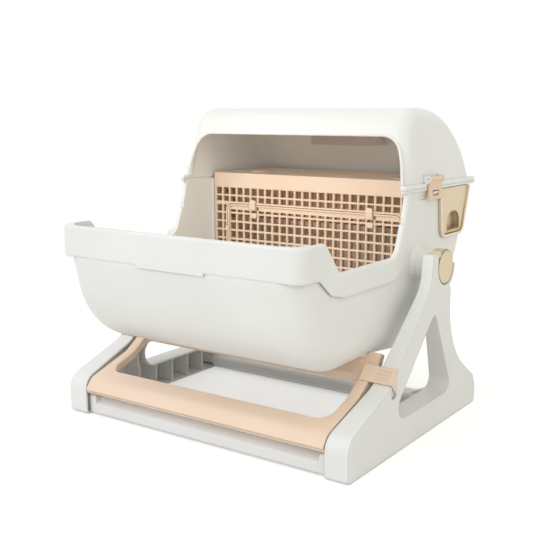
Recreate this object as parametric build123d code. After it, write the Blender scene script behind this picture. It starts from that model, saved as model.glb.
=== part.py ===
from build123d import *
import math
import os

# ---------------------------------------------------------------------------
# A cat litter box that is emptied by tipping it back on an A-frame stand.
# Units are millimetres. X runs across (right is +X), -Y is the front with the
# entry, +Z is up. The origin lies on the floor under the middle of the product.
# The drum (basin, hood and what is inside) turns on two trunnions in the stand.
# ---------------------------------------------------------------------------

# --- general fits ----------------------------------------------------------
SEAT_GAP = 0.3            # between two parts that rest on each other
SLIDE_GAP = 1.5           # around the drawer where it passes the wall

# --- pivot of the drum -----------------------------------------------------
PIVOT_Y = 64.0
PIVOT_Z = 248.0
JOURNAL_RADIUS = 27.0
JOURNAL_GAP = 0.3
HUB_RADIUS = 23.0
HUB_BORE = 15.0

# --- stand: side frames ----------------------------------------------------
STAND_WIDTH = 520.0
FOOT_THICKNESS = 36.0
HEAD_THICKNESS = 18.0
FOOT_FRONT_Y = -223.0
FOOT_REAR_Y = 196.0
FRAME_LIFT = 1.0          # the rubber pads carry the frames this far up
TOE_HEIGHT = 58.0
INSTEP_Y = -108.0
INSTEP_Z = 99.5
NECK_Y = 13.3
NECK_Z = 221.4
FRONT_PRONG_Y = 20.0
FRONT_PRONG_Z = 270.0
REAR_PRONG_Z = 250.0
REAR_PRONG_WALL = 8.7
REAR_LEG_Y = 84.0
REAR_LEG_ELBOW_Z = 117.4
REAR_LEG_RADIUS = 135.0
HEEL_Y = 187.0
HEEL_Z = 48.0
WINDOW_SILL_Z = 46.0
WINDOW_FRONT_Y = -111.0
WINDOW_REAR_Y = 98.7
WINDOW_TOP_Y = 30.5
WINDOW_TOP_Z = 185.4
FRAME_EDGE_RADIUS = 4.0
FRAME_WALL = 3.0
FRAME_RIB = 2.6
FRAME_RIB_PITCH = 42.0

# --- stand: crossbars and pads ---------------------------------------------
FRONT_BAR_FRONT_Y = -215.0
FRONT_BAR_DEPTH = 37.0
FRONT_BAR_TOP_Z = 33.0
FRONT_BAR_FACE_Z = 19.0
REAR_BAR_FRONT_Y = 99.0
REAR_BAR_DEPTH = 32.0
REAR_BAR_TOP_Z = 25.0
BAR_UNDERSIDE_Z = 3.0
BAR_WALL = 2.8
TAB_LENGTH = 22.0
TAB_GAP = 0.3
SOCKET_WALL = 3.0
PAD_LENGTH = 34.0
PAD_WIDTH = 18.0
PAD_HEIGHT = 3.5
PAD_GAP = 0.2

# --- stand: support cradle -------------------------------------------------
CRADLE_SHEET = 3.5
CRADLE_SIDE_GAP = 1.3
CRADLE_DROP = 6.0         # below the front edge of the legs
CRADLE_ARM = 14.5
CRADLE_BAR_Y = -190.0     # inner edge of the front bar
CRADLE_PANEL_Y = -93.0    # lower edge of the sloping panel
CRADLE_TOP_Y = -67.0
CRADLE_TOP_Z = 136.7
CRADLE_CORNER = 12.0
CRADLE_BASIN_GAP = 0.5
CLIP_SADDLE = 4.0
CLIP_FRONT_Y = -106.5
CLIP_REAR_Y = -88.0
CLIP_RIDGES = 4
CLIP_RIDGE_Y = -103.0
CLIP_RIDGE_PITCH = 3.7
CLIP_RIDGE_RADIUS = 1.3
CLIP_TONGUE = 2.6
CLIP_TONGUE_Z = 84.0

# --- drum: basin -----------------------------------------------------------
DRUM_SIDE_GAP = 6.0       # between the lip and the legs on each side
LIP_OVERHANG = 5.0        # how far the lip and the flange stand out from the wall
LIP_HALF_WIDTH = STAND_WIDTH / 2 - FOOT_THICKNESS - DRUM_SIDE_GAP
BASIN_HALF_WIDTH = LIP_HALF_WIDTH - LIP_OVERHANG
BASIN_WALL = 3.0
BASIN_BOTTOM_Z = 125.0
BASIN_FRONT_Y = -267.5
BASIN_LEAN_Z = 262.0
BASIN_LEAN_FOOT_Y = -235.9
BASIN_FRONT_RADIUS = 118.0
BASIN_REAR_FOOT_Y = 174.7
BASIN_REAR_TOP_Y = 257.4
BASIN_REAR_RADIUS = 230.0
BASIN_EDGE_FRONT = 37.0
BASIN_EDGE_REAR = 15.0
BLEND_START_Y = -50.0
BLEND_END_Y = 6.0
SEAM_Z = 364.0

# --- drum: lip, side rims and seam flange ----------------------------------
LIP_FRONT_Y = -271.0
LIP_CORNER = 20.0
LIP_TOP_Z = 314.0
LIP_BOTTOM_Z = 266.0
LIP_SKIN = 2.4
LIP_CAP = 4.5
LIP_BULGE = 1.5
LIP_BULGE_HALF = 56.0
LIP_BULGE_RAMP = 19.0
EAR_REAR_Y = -212.0
SIDE_RIM_Y = -174.0
SIDE_RIM_Z = 269.0
SIDE_RIM_DEPTH = 36.0
WALL_FRONT_Y = 17.0
WALL_KNEE_Y = 12.5
WALL_KNEE_Z = 338.0
WALL_FOOT_Y = -13.5
RIM_ROUND = 4.2
FLANGE_FRONT_Y = 8.0
WALL_EDGE_BAND = 12.0
FLANGE_HALF_WIDTH = LIP_HALF_WIDTH
FLANGE_REAR_Y = 271.0
FLANGE_LOWER = 4.6
FLANGE_UPPER = 6.6
FLANGE_CORNER = 10.0

# --- drum: hood ------------------------------------------------------------
HOOD_WALL = 3.0
HOOD_TOP_Z = 484.0
HOOD_DRAFT = 8.0          # how much narrower each side is at the top
HOOD_TOP_HALF = BASIN_HALF_WIDTH - HOOD_DRAFT
HOOD_FRONT_FOOT_Y = 13.3
HOOD_FRONT_TOP_Y = 41.2
HOOD_FRONT_RADIUS = 42.0
HOOD_REAR_CORNER_Y = 220.0
HOOD_REAR_FOOT_Y = 264.5
HOOD_REAR_RADIUS = 170.0
HOOD_EDGE_RADIUS = 22.0
HOOD_SPLIT_Y = 88.0
ENTRY_POST_FOOT = 4.4     # border beside the entry, from the foot to the top
ENTRY_POST_MIDDLE = 11.5
ENTRY_POST_TOP = 24.0
ENTRY_HALF_FOOT = BASIN_HALF_WIDTH - ENTRY_POST_FOOT
ENTRY_HALF_MIDDLE = BASIN_HALF_WIDTH - ENTRY_POST_MIDDLE
ENTRY_MIDDLE_Z = 405.0
ENTRY_HALF_TOP = BASIN_HALF_WIDTH - ENTRY_POST_TOP
ENTRY_TOP_Z = 444.0
GRIP_HALF_WIDTH = 64.0
GRIP_BOTTOM_Z = 424.0
GRIP_TOP_Z = 454.0
GRIP_FLOOR_Y = 199.0

# --- drum: sieve partition and flap ----------------------------------------
SIEVE_Y = 87.0
SIEVE_SHEET = 3.0
SIEVE_SIDE_GAP = 2.0      # in the channels of the basin
SIEVE_HALF_WIDTH = BASIN_HALF_WIDTH - BASIN_WALL - SIEVE_SIDE_GAP
SIEVE_TOP_Z = 372.0
SIEVE_STRIP_Z = 347.5
GRID_PITCH = 15.5
GRID_BAR = 3.5
GRID_SIDE_STRIP = 5.0     # least sheet beside the outermost holes
GRID_COLUMNS = int((SIEVE_HALF_WIDTH - GRID_SIDE_STRIP) // GRID_PITCH)  # on each side of the middle
GRID_FOOT_Z = 161.5
FLAP_SIDE_FIELD = 35.0    # fixed grid beside the flap
FLAP_HALF_WIDTH = SIEVE_HALF_WIDTH - FLAP_SIDE_FIELD
FLAP_TOP_Z = 317.5
FLAP_BOTTOM_Z = 189.5
FLAP_GAP = 0.6
FLAP_RIM = 3.2
FLAP_RIM_RAISE = 2.0
FLAP_CORNER = 12.0
HINGE_Z = 314.0
HINGE_X = 116.0
HINGE_BARREL_RADIUS = 3.2
HINGE_BARREL_LENGTH = 12.0
HINGE_PIN_RADIUS = 1.4
HINGE_PIN_GAP = 0.25
CHANNEL_RIB = 3.2
CHANNEL_REACH = 5.5
LEDGE_SIDE_STEP = 4.0
LEDGE_HALF_WIDTH = SIEVE_HALF_WIDTH - LEDGE_SIDE_STEP
LEDGE_REAR_Y = 249.0
LEDGE_HOLE_X = 147.0
LEDGE_HOLE_Y = 146.0
LEDGE_HOLE_RADIUS = 16.0

# --- drum: drawer ----------------------------------------------------------
PANEL_TOP_Z = 358.5
PANEL_BOTTOM_Z = 279.0
PANEL_FRONT_TOP_Y = 128.5
PANEL_FRONT_FOOT_Y = 138.5
PANEL_REAR_FOOT_Y = 220.0
PANEL_REAR_TOP_Y = 246.0
PANEL_THICKNESS = 5.4
PANEL_BEZEL = 4.6
PANEL_STEP = 2.6
PANEL_LAP = 4.5           # how far the panel covers the wall round the opening
TRAY_WALL = 2.2
TRAY_TOP_Z = 349.0
TRAY_END_GAP = 15.0       # to the far wall of the basin
TRAY_END_X = TRAY_END_GAP - BASIN_HALF_WIDTH
TRAY_SLOTS = 15
RECESS_CENTRE_Y = 184.5
RECESS_HALF = 25.5
RECESS_BOTTOM_Z = 288.0
RECESS_TOP_Z = 320.0
RECESS_DEPTH = 14.0
RAIL_SHEET = 3.0
RAIL_FLANGE = 14.0
RAIL_BRACKET = 9.0

# --- drum: trunnions, screws and latches -----------------------------------
TRUNNION_STOP_RADIUS = 4.5
TRUNNION_STOP_REACH = 30.0
TRUNNION_STOP_ANGLE = 136.0
SCREW_RADIUS = 2.5
SCREW_HEAD_RADIUS = 5.5
SCREW_LENGTH = 22.0
LATCH_FRONT_Y = 80.0
LATCH_REAR_Y = 125.0
LATCH_FOOT_Z = 346.0
LATCH_PIVOT_Z = 377.0
LATCH_PIVOT_REACH = 3.0   # from the flange to the latch's pin
LATCH_PIVOT_X = FLANGE_HALF_WIDTH + LATCH_PIVOT_REACH
LATCH_BARREL = 3.6
LATCH_PIN_RADIUS = 1.5
LATCH_PIN_GAP = 0.25
LATCH_SHEET = 3.0
LATCH_EAR = 3.2
NUB_REACH = 9.0


# ---------------------------------------------------------------------------
# Outline helpers
# ---------------------------------------------------------------------------
def unit(ax, ay, bx, by):
    length = math.hypot(bx - ax, by - ay)
    return (bx - ax) / length, (by - ay) / length


def corner_rounds(corners):
    """Half angle and tangent length at each corner, kept within the edges."""
    count = len(corners)
    halves, tangents = [], []
    for index in range(count):
        pu, pv, _ = corners[index - 1]
        u, v, radius = corners[index]
        nu, nv, _ = corners[(index + 1) % count]
        au, av = unit(u, v, pu, pv)
        bu, bv = unit(u, v, nu, nv)
        half = math.acos(max(-1.0, min(1.0, au * bu + av * bv))) / 2
        straight = radius < 0.01 or half > math.pi / 2 - 0.002
        halves.append(half)
        tangents.append(0.0 if straight else radius / math.tan(half))
    for index in range(count):
        following = (index + 1) % count
        length = math.dist(corners[index][:2], corners[following][:2])
        total = tangents[index] + tangents[following]
        if total > length * 0.998:
            tangents[index] *= length * 0.998 / total
            tangents[following] *= length * 0.998 / total
    return halves, tangents


def outline_wire(corners):
    """Closed outline from corners (u, v, radius); each corner gets its round."""
    count = len(corners)
    halves, tangents = corner_rounds(corners)
    starts, middles, ends = [], [], []
    for index in range(count):
        pu, pv, _ = corners[index - 1]
        u, v, _ = corners[index]
        nu, nv, _ = corners[(index + 1) % count]
        tangent = tangents[index]
        if tangent < 0.001:
            starts.append((u, v))
            middles.append(None)
            ends.append((u, v))
            continue
        au, av = unit(u, v, pu, pv)
        bu, bv = unit(u, v, nu, nv)
        half = halves[index]
        reach = tangent / math.cos(half) - tangent * math.tan(half)
        mu, mv = unit(0, 0, au + bu, av + bv)
        starts.append((u + au * tangent, v + av * tangent))
        middles.append((u + mu * reach, v + mv * reach))
        ends.append((u + bu * tangent, v + bv * tangent))
    edges = []
    for index in range(count):
        if middles[index] is not None:
            edges.append(ThreePointArc(starts[index], middles[index], ends[index]))
        following = (index + 1) % count
        if math.dist(ends[index], starts[following]) > 0.001:
            edges.append(Line(ends[index], starts[following]))
    return Wire([curve.edge() for curve in edges])


def outline(corners, holes=()):
    return Face(outline_wire(corners), [outline_wire(hole) for hole in holes])


def inset(corners, distance):
    """Corners of the same outline moved inwards by a distance."""
    count = len(corners)
    area = 0.0
    for index in range(count):
        u, v, _ = corners[index]
        nu, nv, _ = corners[(index + 1) % count]
        area += u * nv - nu * v
    side = 1.0 if area > 0 else -1.0
    moved = []
    for index in range(count):
        pu, pv, _ = corners[index - 1]
        u, v, radius = corners[index]
        nu, nv, _ = corners[(index + 1) % count]
        au, av = unit(pu, pv, u, v)
        bu, bv = unit(u, v, nu, nv)
        turn = (au * bv - av * bu) * side
        scale = distance / (1 + au * bu + av * bv)
        shift_u = -(av + bv) * side * scale
        shift_v = (au + bu) * side * scale
        changed = radius - distance if turn > 0 else radius + distance
        if radius < 0.01:
            changed = 0.0
        moved.append((u + shift_u, v + shift_v, max(changed, 0.0)))
    return moved


def strip(points, thickness):
    """Closed outline of a sheet below an open line of corners."""
    lower = []
    last = len(points) - 1
    for index, (u, v, radius) in enumerate(points):
        if index == 0:
            au, av = unit(u, v, points[1][0], points[1][1])
            bu, bv = au, av
        elif index == last:
            au, av = unit(points[last - 1][0], points[last - 1][1], u, v)
            bu, bv = au, av
        else:
            au, av = unit(points[index - 1][0], points[index - 1][1], u, v)
            bu, bv = unit(u, v, points[index + 1][0], points[index + 1][1])
        scale = thickness / (1 + au * bu + av * bv)
        turn = au * bv - av * bu
        changed = radius + thickness if turn > 0 else radius - thickness
        if radius < 0.01:
            changed = 0.0
        lower.append((u + (av + bv) * scale, v - (au + bu) * scale, max(changed, 0.0)))
    return list(points) + lower[::-1]


def along_x(face, x0, x1):
    """A side-view outline (u = Y, v = Z) pulled from x0 to x1."""
    plane = Plane(origin=(x0, 0, 0), x_dir=(0, 1, 0), z_dir=(1, 0, 0))
    return extrude(plane * face, amount=x1 - x0, dir=(1, 0, 0))


def along_y(face, y0, y1):
    """A front-view outline (u = X, v = Z) pulled from y0 to y1."""
    plane = Plane(origin=(0, y0, 0), x_dir=(1, 0, 0), z_dir=(0, -1, 0))
    return extrude(plane * face, amount=y1 - y0, dir=(0, 1, 0))


def along_z(face, z0, z1):
    """A plan outline pulled from z0 to z1."""
    return extrude(Pos(0, 0, z0) * face, amount=z1 - z0, dir=(0, 0, 1))


def block(x0, x1, y0, y1, z0, z1):
    centre = Pos((x0 + x1) / 2, (y0 + y1) / 2, (z0 + z1) / 2)
    return centre * Box(x1 - x0, y1 - y0, z1 - z0)


def rectangle(u0, u1, v0, v1, radius=0.0):
    return [(u0, v0, radius), (u1, v0, radius), (u1, v1, radius), (u0, v1, radius)]


def rod(x0, x1, y, z, radius):
    centre = Pos((x0 + x1) / 2, y, z) * Rot(0, 90, 0)
    return centre * Cylinder(radius, x1 - x0)


def rod_y(x, y0, y1, z, radius):
    centre = Pos(x, (y0 + y1) / 2, z) * Rot(90, 0, 0)
    return centre * Cylinder(radius, y1 - y0)


def rod_z(x, y, z0, z1, radius):
    return Pos(x, y, (z0 + z1) / 2) * Cylinder(radius, z1 - z0)


def other_side(shape):
    return mirror(shape, about=Plane.YZ)


# ---------------------------------------------------------------------------
# Stand
# ---------------------------------------------------------------------------
STAND_HALF = STAND_WIDTH / 2
FOOT_INNER_X = STAND_HALF - FOOT_THICKNESS
HEAD_INNER_X = STAND_HALF - HEAD_THICKNESS
SLOT_RADIUS = JOURNAL_RADIUS + JOURNAL_GAP


def frame_corners():
    slot_front = PIVOT_Y - SLOT_RADIUS
    return [
        (FOOT_FRONT_Y, FRAME_LIFT, 5.0),
        (FOOT_FRONT_Y, TOE_HEIGHT, 26.0),
        (INSTEP_Y, INSTEP_Z, 60.0),
        (NECK_Y, NECK_Z, 60.0),
        (FRONT_PRONG_Y, FRONT_PRONG_Z, 4.0),
        (slot_front + 0.01, FRONT_PRONG_Z, 4.0),
        (slot_front + 0.01, PIVOT_Z, 0.0),
        (REAR_LEG_Y, PIVOT_Z - 34.0, 0.0),
        (REAR_LEG_Y, REAR_LEG_ELBOW_Z, REAR_LEG_RADIUS),
        (HEEL_Y, HEEL_Z, 10.0),
        (FOOT_REAR_Y, HEEL_Z - 18.0, 14.0),
        (FOOT_REAR_Y, FRAME_LIFT, 5.0),
    ]


def window_corners():
    return [
        (WINDOW_FRONT_Y, WINDOW_SILL_Z, 20.0),
        (WINDOW_REAR_Y, WINDOW_SILL_Z, 16.0),
        (WINDOW_TOP_Y, WINDOW_TOP_Z, 9.0),
    ]


def bar_tab(front_y, depth, top_z, gap):
    """Outline of the tab at a crossbar's end, or of its socket with a gap."""
    return rectangle(
        front_y + 7.0 - gap, front_y + depth - 7.0 + gap,
        BAR_UNDERSIDE_Z + 5.0 - gap, top_z - 6.0 + gap, 2.0,
    )


def bar_sections():
    return [
        (FRONT_BAR_FRONT_Y, FRONT_BAR_DEPTH, FRONT_BAR_TOP_Z),
        (REAR_BAR_FRONT_Y, REAR_BAR_DEPTH, REAR_BAR_TOP_Z),
    ]


def pad_centres():
    return [FOOT_FRONT_Y + 34.0, FOOT_REAR_Y - 30.0]


def pad_outline(x, y, gap):
    half_width = PAD_WIDTH / 2 + gap
    half_length = PAD_LENGTH / 2 + gap
    return outline(rectangle(x - half_width, x + half_width, y - half_length, y + half_length, 4.0))


def side_frame():
    """Right-hand A-frame: a ribbed shell, open towards the drum."""
    face = outline(frame_corners())
    ring = Pos(PIVOT_Y, PIVOT_Z) * Circle(SLOT_RADIUS + REAR_PRONG_WALL)
    above = Pos(PIVOT_Y + 60.0, REAR_PRONG_Z + 60.0) * Rectangle(120.0, 120.0)
    slot = Pos(PIVOT_Y, PIVOT_Z) * Circle(SLOT_RADIUS)
    mouth = Pos(PIVOT_Y, PIVOT_Z + 40.0) * Rectangle(SLOT_RADIUS * 2, 80.0)
    profile = Sketch() + face + (ring - above) - slot - mouth - outline(window_corners())
    plate = along_x(profile, FOOT_INNER_X, STAND_HALF)
    rim = plate.faces().sort_by(Axis.X)[-1].edges()
    plate = fillet(rim, FRAME_EDGE_RADIUS)

    # The legs get thinner towards the head, on the side of the drum.
    taper = outline([
        (FOOT_INNER_X - 30.0, -5.0, 0), (FOOT_INNER_X, -5.0, 0),
        (FOOT_INNER_X, WINDOW_SILL_Z, 0), (FOOT_INNER_X + 11.0, 135.0, 200.0),
        (HEAD_INNER_X, PIVOT_Z - 20.0, 60.0), (HEAD_INNER_X, PIVOT_Z + 60.0, 0),
        (FOOT_INNER_X - 30.0, PIVOT_Z + 60.0, 0),
    ])
    plate -= along_y(taper, FOOT_FRONT_Y - 10.0, FOOT_REAR_Y + 10.0)

    # Hollow from the inside, up to the solid head that carries the journal.
    hollow = Sketch() + outline(inset(frame_corners(), FRAME_WALL))
    hollow -= outline(inset(window_corners(), -FRAME_WALL))
    hollow -= Pos(PIVOT_Y, PIVOT_Z) * Rectangle(300.0, 96.0)
    for front_y, depth, top_z in bar_sections():
        tab = bar_tab(front_y, depth, top_z, TAB_GAP)
        hollow -= outline(inset(tab, -SOCKET_WALL))
    rib_y = WINDOW_FRONT_Y + 11.0
    while rib_y < HEEL_Y:
        hollow -= Pos(rib_y, 120.0) * Rectangle(FRAME_RIB, 300.0)
        rib_y += FRAME_RIB_PITCH
    plate -= along_x(hollow, FOOT_INNER_X - 1.0, STAND_HALF - FRAME_WALL)

    for front_y, depth, top_z in bar_sections():
        socket = outline(bar_tab(front_y, depth, top_z, TAB_GAP))
        plate -= along_x(socket, FOOT_INNER_X - 1.0, FOOT_INNER_X + TAB_LENGTH + TAB_GAP)

    # Seats for the rubber pads, and a pocket for the cradle's tongue.
    pad_x = STAND_HALF - FOOT_THICKNESS / 2
    for pad_y in pad_centres():
        seat = block(FOOT_INNER_X, STAND_HALF, pad_y - 24.0, pad_y + 24.0, FRAME_LIFT, PAD_HEIGHT + 2.0)
        plate += seat & along_x(outline(inset(frame_corners(), 1.0)), FOOT_INNER_X, STAND_HALF - 1.0)
        plate -= along_z(pad_outline(pad_x, pad_y, PAD_GAP), -1.0, PAD_HEIGHT)
    plate -= tongue_block(STAND_HALF + 1.0, 0.3)
    return plate


def tongue_block(outer_x, gap):
    """The cradle's clip on the outer face of the leg, or its pocket with a gap."""
    lower = CLIP_TONGUE_Z - gap
    face = outline([
        (CLIP_FRONT_Y + 2.0 - gap, lower, 5.0), (CLIP_REAR_Y - 2.0 + gap, lower, 5.0),
        (CLIP_REAR_Y - 2.0 + gap, INSTEP_Z + 40.0, 0), (CLIP_FRONT_Y + 2.0 - gap, INSTEP_Z + 40.0, 0),
    ])
    return along_x(face, STAND_HALF - CLIP_TONGUE - gap, outer_x)


def crossbar(front_y, depth, top_z, section, ends):
    """A hollow bar between the frames, open below, with a tab at each end."""
    bar = along_x(outline(section), -FOOT_INNER_X, FOOT_INNER_X)
    bar -= along_x(
        outline(inset(section, BAR_WALL)), -FOOT_INNER_X + BAR_WALL, FOOT_INNER_X - BAR_WALL
    )
    bar -= block(
        -FOOT_INNER_X + BAR_WALL, FOOT_INNER_X - BAR_WALL,
        front_y + BAR_WALL, front_y + depth - BAR_WALL, 0.0, BAR_UNDERSIDE_Z + BAR_WALL + 1.0,
    )
    web_x = -150.0
    while web_x < 151.0:
        web = along_x(outline(inset(section, 1.0)), web_x - 1.2, web_x + 1.2)
        bar += web
        web_x += 75.0
    tab = along_x(outline(bar_tab(front_y, depth, top_z, 0.0)), FOOT_INNER_X, FOOT_INNER_X + TAB_LENGTH)
    bar += tab
    bar += other_side(tab)
    for piece in ends:
        bar += piece
        bar += other_side(piece)
    return bar


def front_crossbar():
    back = FRONT_BAR_FRONT_Y + FRONT_BAR_DEPTH
    ridge = FRONT_BAR_FRONT_Y + 18.0
    section = [
        (FRONT_BAR_FRONT_Y, BAR_UNDERSIDE_Z, 1.5), (back, BAR_UNDERSIDE_Z, 1.5),
        (back, FRONT_BAR_TOP_Z, 5.0), (ridge, FRONT_BAR_TOP_Z, 6.0),
        (FRONT_BAR_FRONT_Y, FRONT_BAR_FACE_Z, 3.0),
    ]
    end_face = [
        (FRONT_BAR_FRONT_Y, BAR_UNDERSIDE_Z, 1.5), (back, BAR_UNDERSIDE_Z, 1.5),
        (back, FRONT_BAR_TOP_Z, 5.0), (FRONT_BAR_FRONT_Y, FRONT_BAR_TOP_Z, 5.0),
    ]
    end = along_x(outline(end_face), FOOT_INNER_X - 14.0, FOOT_INNER_X)
    ramp = outline([
        (FOOT_INNER_X - 40.0, FRONT_BAR_TOP_Z - 40.0, 0), (FOOT_INNER_X + 1.0, FRONT_BAR_TOP_Z - 40.0, 0),
        (FOOT_INNER_X + 1.0, FRONT_BAR_TOP_Z + 1.0, 0), (FOOT_INNER_X - 9.0, FRONT_BAR_TOP_Z + 1.0, 0),
    ])
    end &= along_y(ramp, FRONT_BAR_FRONT_Y - 1.0, back + 1.0)
    return crossbar(FRONT_BAR_FRONT_Y, FRONT_BAR_DEPTH, FRONT_BAR_TOP_Z, section, [end])


def rear_crossbar():
    back = REAR_BAR_FRONT_Y + REAR_BAR_DEPTH
    section = [
        (REAR_BAR_FRONT_Y, BAR_UNDERSIDE_Z, 1.5), (back, BAR_UNDERSIDE_Z, 1.5),
        (back, REAR_BAR_TOP_Z, 4.0), (REAR_BAR_FRONT_Y, REAR_BAR_TOP_Z, 4.0),
    ]
    gusset_face = outline([
        (FOOT_INNER_X - 46.0, REAR_BAR_TOP_Z - 3.0, 0), (FOOT_INNER_X, REAR_BAR_TOP_Z - 3.0, 0),
        (FOOT_INNER_X, REAR_BAR_TOP_Z + 13.0, 2.0), (FOOT_INNER_X - 8.0, REAR_BAR_TOP_Z + 13.0, 4.0),
    ])
    middle = REAR_BAR_FRONT_Y + REAR_BAR_DEPTH / 2
    gusset = along_y(gusset_face, middle - 9.0, middle + 9.0)
    bar = crossbar(REAR_BAR_FRONT_Y, REAR_BAR_DEPTH, REAR_BAR_TOP_Z, section, [gusset])
    # Long shallow grooves in the front face.
    for groove_z in (REAR_BAR_TOP_Z - 8.5, REAR_BAR_TOP_Z - 14.5):
        groove = rectangle(-FOOT_INNER_X + 26.0, FOOT_INNER_X - 26.0, groove_z - 1.4, groove_z + 1.4, 1.3)
        bar -= along_y(outline(groove), REAR_BAR_FRONT_Y - 1.0, REAR_BAR_FRONT_Y + 1.0)
    return bar


def cradle_line():
    """Upper side of the cradle's sheet, from the toes up to the basin."""
    drop = CRADLE_DROP
    return [
        (FOOT_FRONT_Y, TOE_HEIGHT - drop - 13.0, 0.0),
        (FOOT_FRONT_Y + 13.0, TOE_HEIGHT - drop + 4.5, 18.0),
        (INSTEP_Y - 22.0, INSTEP_Z - drop - 11.0, 60.0),
        (CRADLE_TOP_Y - 9.0, CRADLE_TOP_Z - 17.0, 24.0),
        (CRADLE_TOP_Y, CRADLE_TOP_Z, 0.0),
    ]


def support_cradle():
    """The coloured sheet between the front legs that the basin rests on."""
    half = FOOT_INNER_X - CRADLE_SIDE_GAP
    sheet = along_x(outline(strip(cradle_line(), CRADLE_SHEET)), -half, half)
    inner = half - CRADLE_ARM
    ring = outline(rectangle(-inner, inner, CRADLE_BAR_Y, CRADLE_PANEL_Y, CRADLE_CORNER))
    sheet -= along_z(ring, 0.0, PIVOT_Z)
    # A turned-down edge stiffens the ring.
    edge = along_z(
        Sketch() + outline(inset(rectangle(-inner, inner, CRADLE_BAR_Y, CRADLE_PANEL_Y, CRADLE_CORNER), -2.4))
        - ring, 0.0, PIVOT_Z,
    )
    sheet += edge & along_x(outline(strip(cradle_line(), 9.0)), -half, half)
    skirt = along_x(outline(strip(cradle_line(), 11.0)), half - 2.4, half)
    sheet += skirt
    sheet += other_side(skirt)

    # Saddles over the front edge of the legs, each with a tongue outside.
    saddle_line = [
        (CLIP_FRONT_Y, saddle_z(CLIP_FRONT_Y) + 0.6, 0.0),
        (CLIP_REAR_Y, saddle_z(CLIP_REAR_Y) + 0.6, 0.0),
    ]
    saddle = along_x(outline(strip(saddle_line, CLIP_SADDLE)), inner, STAND_HALF)
    leg_outline = along_x(outline(inset(frame_corners(), -SEAT_GAP)), half, STAND_HALF)
    leg = along_x(outline(inset(frame_corners(), -SEAT_GAP)), half, STAND_HALF - CLIP_TONGUE)
    web = along_x(outline(strip(saddle_line, 14.0)), inner, half)
    tongue = tongue_block(STAND_HALF, 0.0) & (
        along_x(outline(strip(saddle_line, 46.0)), half, STAND_HALF)
    )
    clip = saddle - leg_outline + tongue - leg + web
    # Ridges across each saddle give the thumb a grip.
    for count in range(CLIP_RIDGES):
        ridge_y = CLIP_RIDGE_Y + count * CLIP_RIDGE_PITCH
        ridge_z = saddle_z(ridge_y) + 0.6
        clip += rod(FOOT_INNER_X + 8.0, STAND_HALF - 7.0, ridge_y, ridge_z, CLIP_RIDGE_RADIUS)
    sheet += clip
    sheet += other_side(clip)

    # The upper edge follows the underside of the basin.
    bottom = BASIN_BOTTOM_Z - CRADLE_BASIN_GAP
    side = BASIN_HALF_WIDTH + CRADLE_BASIN_GAP
    basin_section = outline([
        (-side, PIVOT_Z, 0), (-side, bottom, BASIN_EDGE_FRONT),
        (side, bottom, BASIN_EDGE_FRONT), (side, PIVOT_Z, 0),
    ])
    sheet -= along_y(basin_section, CRADLE_PANEL_Y, PIVOT_Y)
    return sheet


def saddle_z(y):
    """Height of the saddle's upper side above the leg's two slopes."""
    slope = leg_slope() if y < INSTEP_Y else shin_slope()
    return INSTEP_Z + (y - INSTEP_Y) * slope + CLIP_SADDLE + SEAT_GAP


def leg_slope():
    return (INSTEP_Z - TOE_HEIGHT) / (INSTEP_Y - FOOT_FRONT_Y)


def shin_slope():
    return (NECK_Z - INSTEP_Z) / (NECK_Y - INSTEP_Y)


def foot_pads():
    pads = []
    pad_x = STAND_HALF - FOOT_THICKNESS / 2
    for pad_y in pad_centres():
        for x in (-pad_x, pad_x):
            pads.append(along_z(pad_outline(x, pad_y, 0.0), 0.0, PAD_HEIGHT - PAD_GAP))
    return Compound(children=[pad.solid() for pad in pads])


# ---------------------------------------------------------------------------
# Drum: basin
# ---------------------------------------------------------------------------
def rear_line_y(z):
    rise = (z - BASIN_BOTTOM_Z) / (SEAM_Z - BASIN_BOTTOM_Z)
    return BASIN_REAR_FOOT_Y + (BASIN_REAR_TOP_Y - BASIN_REAR_FOOT_Y) * rise


def basin_corners(top):
    return [
        (BASIN_FRONT_Y, top, 0.0),
        (BASIN_FRONT_Y, BASIN_LEAN_Z, 60.0),
        (BASIN_LEAN_FOOT_Y, BASIN_BOTTOM_Z, BASIN_FRONT_RADIUS),
        (BASIN_REAR_FOOT_Y, BASIN_BOTTOM_Z, BASIN_REAR_RADIUS),
        (rear_line_y(top), top, 0.0),
    ]


def rounded_tub(corners, half, top, radius):
    body = along_x(outline(corners), -half, half)
    edges = []
    for edge in body.edges():
        centre = edge.center()
        if abs(abs(centre.X) - half) < 0.01 and centre.Z < top - 0.01:
            edges.append(edge)
    return fillet(edges, radius)


def tub_block(depth, top):
    """The basin's outer form, or its hollow at a depth below that skin."""
    corners = inset(basin_corners(top), depth)
    level = corners[0][1]
    half = BASIN_HALF_WIDTH - depth
    bottom = BASIN_BOTTOM_Z + depth
    front = rounded_tub(corners, half, level, BASIN_EDGE_FRONT - depth)
    rear = rounded_tub(corners, half, level, BASIN_EDGE_REAR - depth)
    front &= block(-300, 300, -400, BLEND_START_Y, 0, 600)
    rear &= block(-300, 300, BLEND_END_Y, 400, 0, 600)
    sections = []
    for y, radius in ((BLEND_START_Y, BASIN_EDGE_FRONT - depth), (BLEND_END_Y, BASIN_EDGE_REAR - depth)):
        plane = Plane(origin=(0, y, 0), x_dir=(1, 0, 0), z_dir=(0, -1, 0))
        face = outline([
            (-half, level, 0), (-half, bottom, radius), (half, bottom, radius), (half, level, 0),
        ])
        sections.append(plane * face)
    return front + loft(sections) + rear


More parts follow.
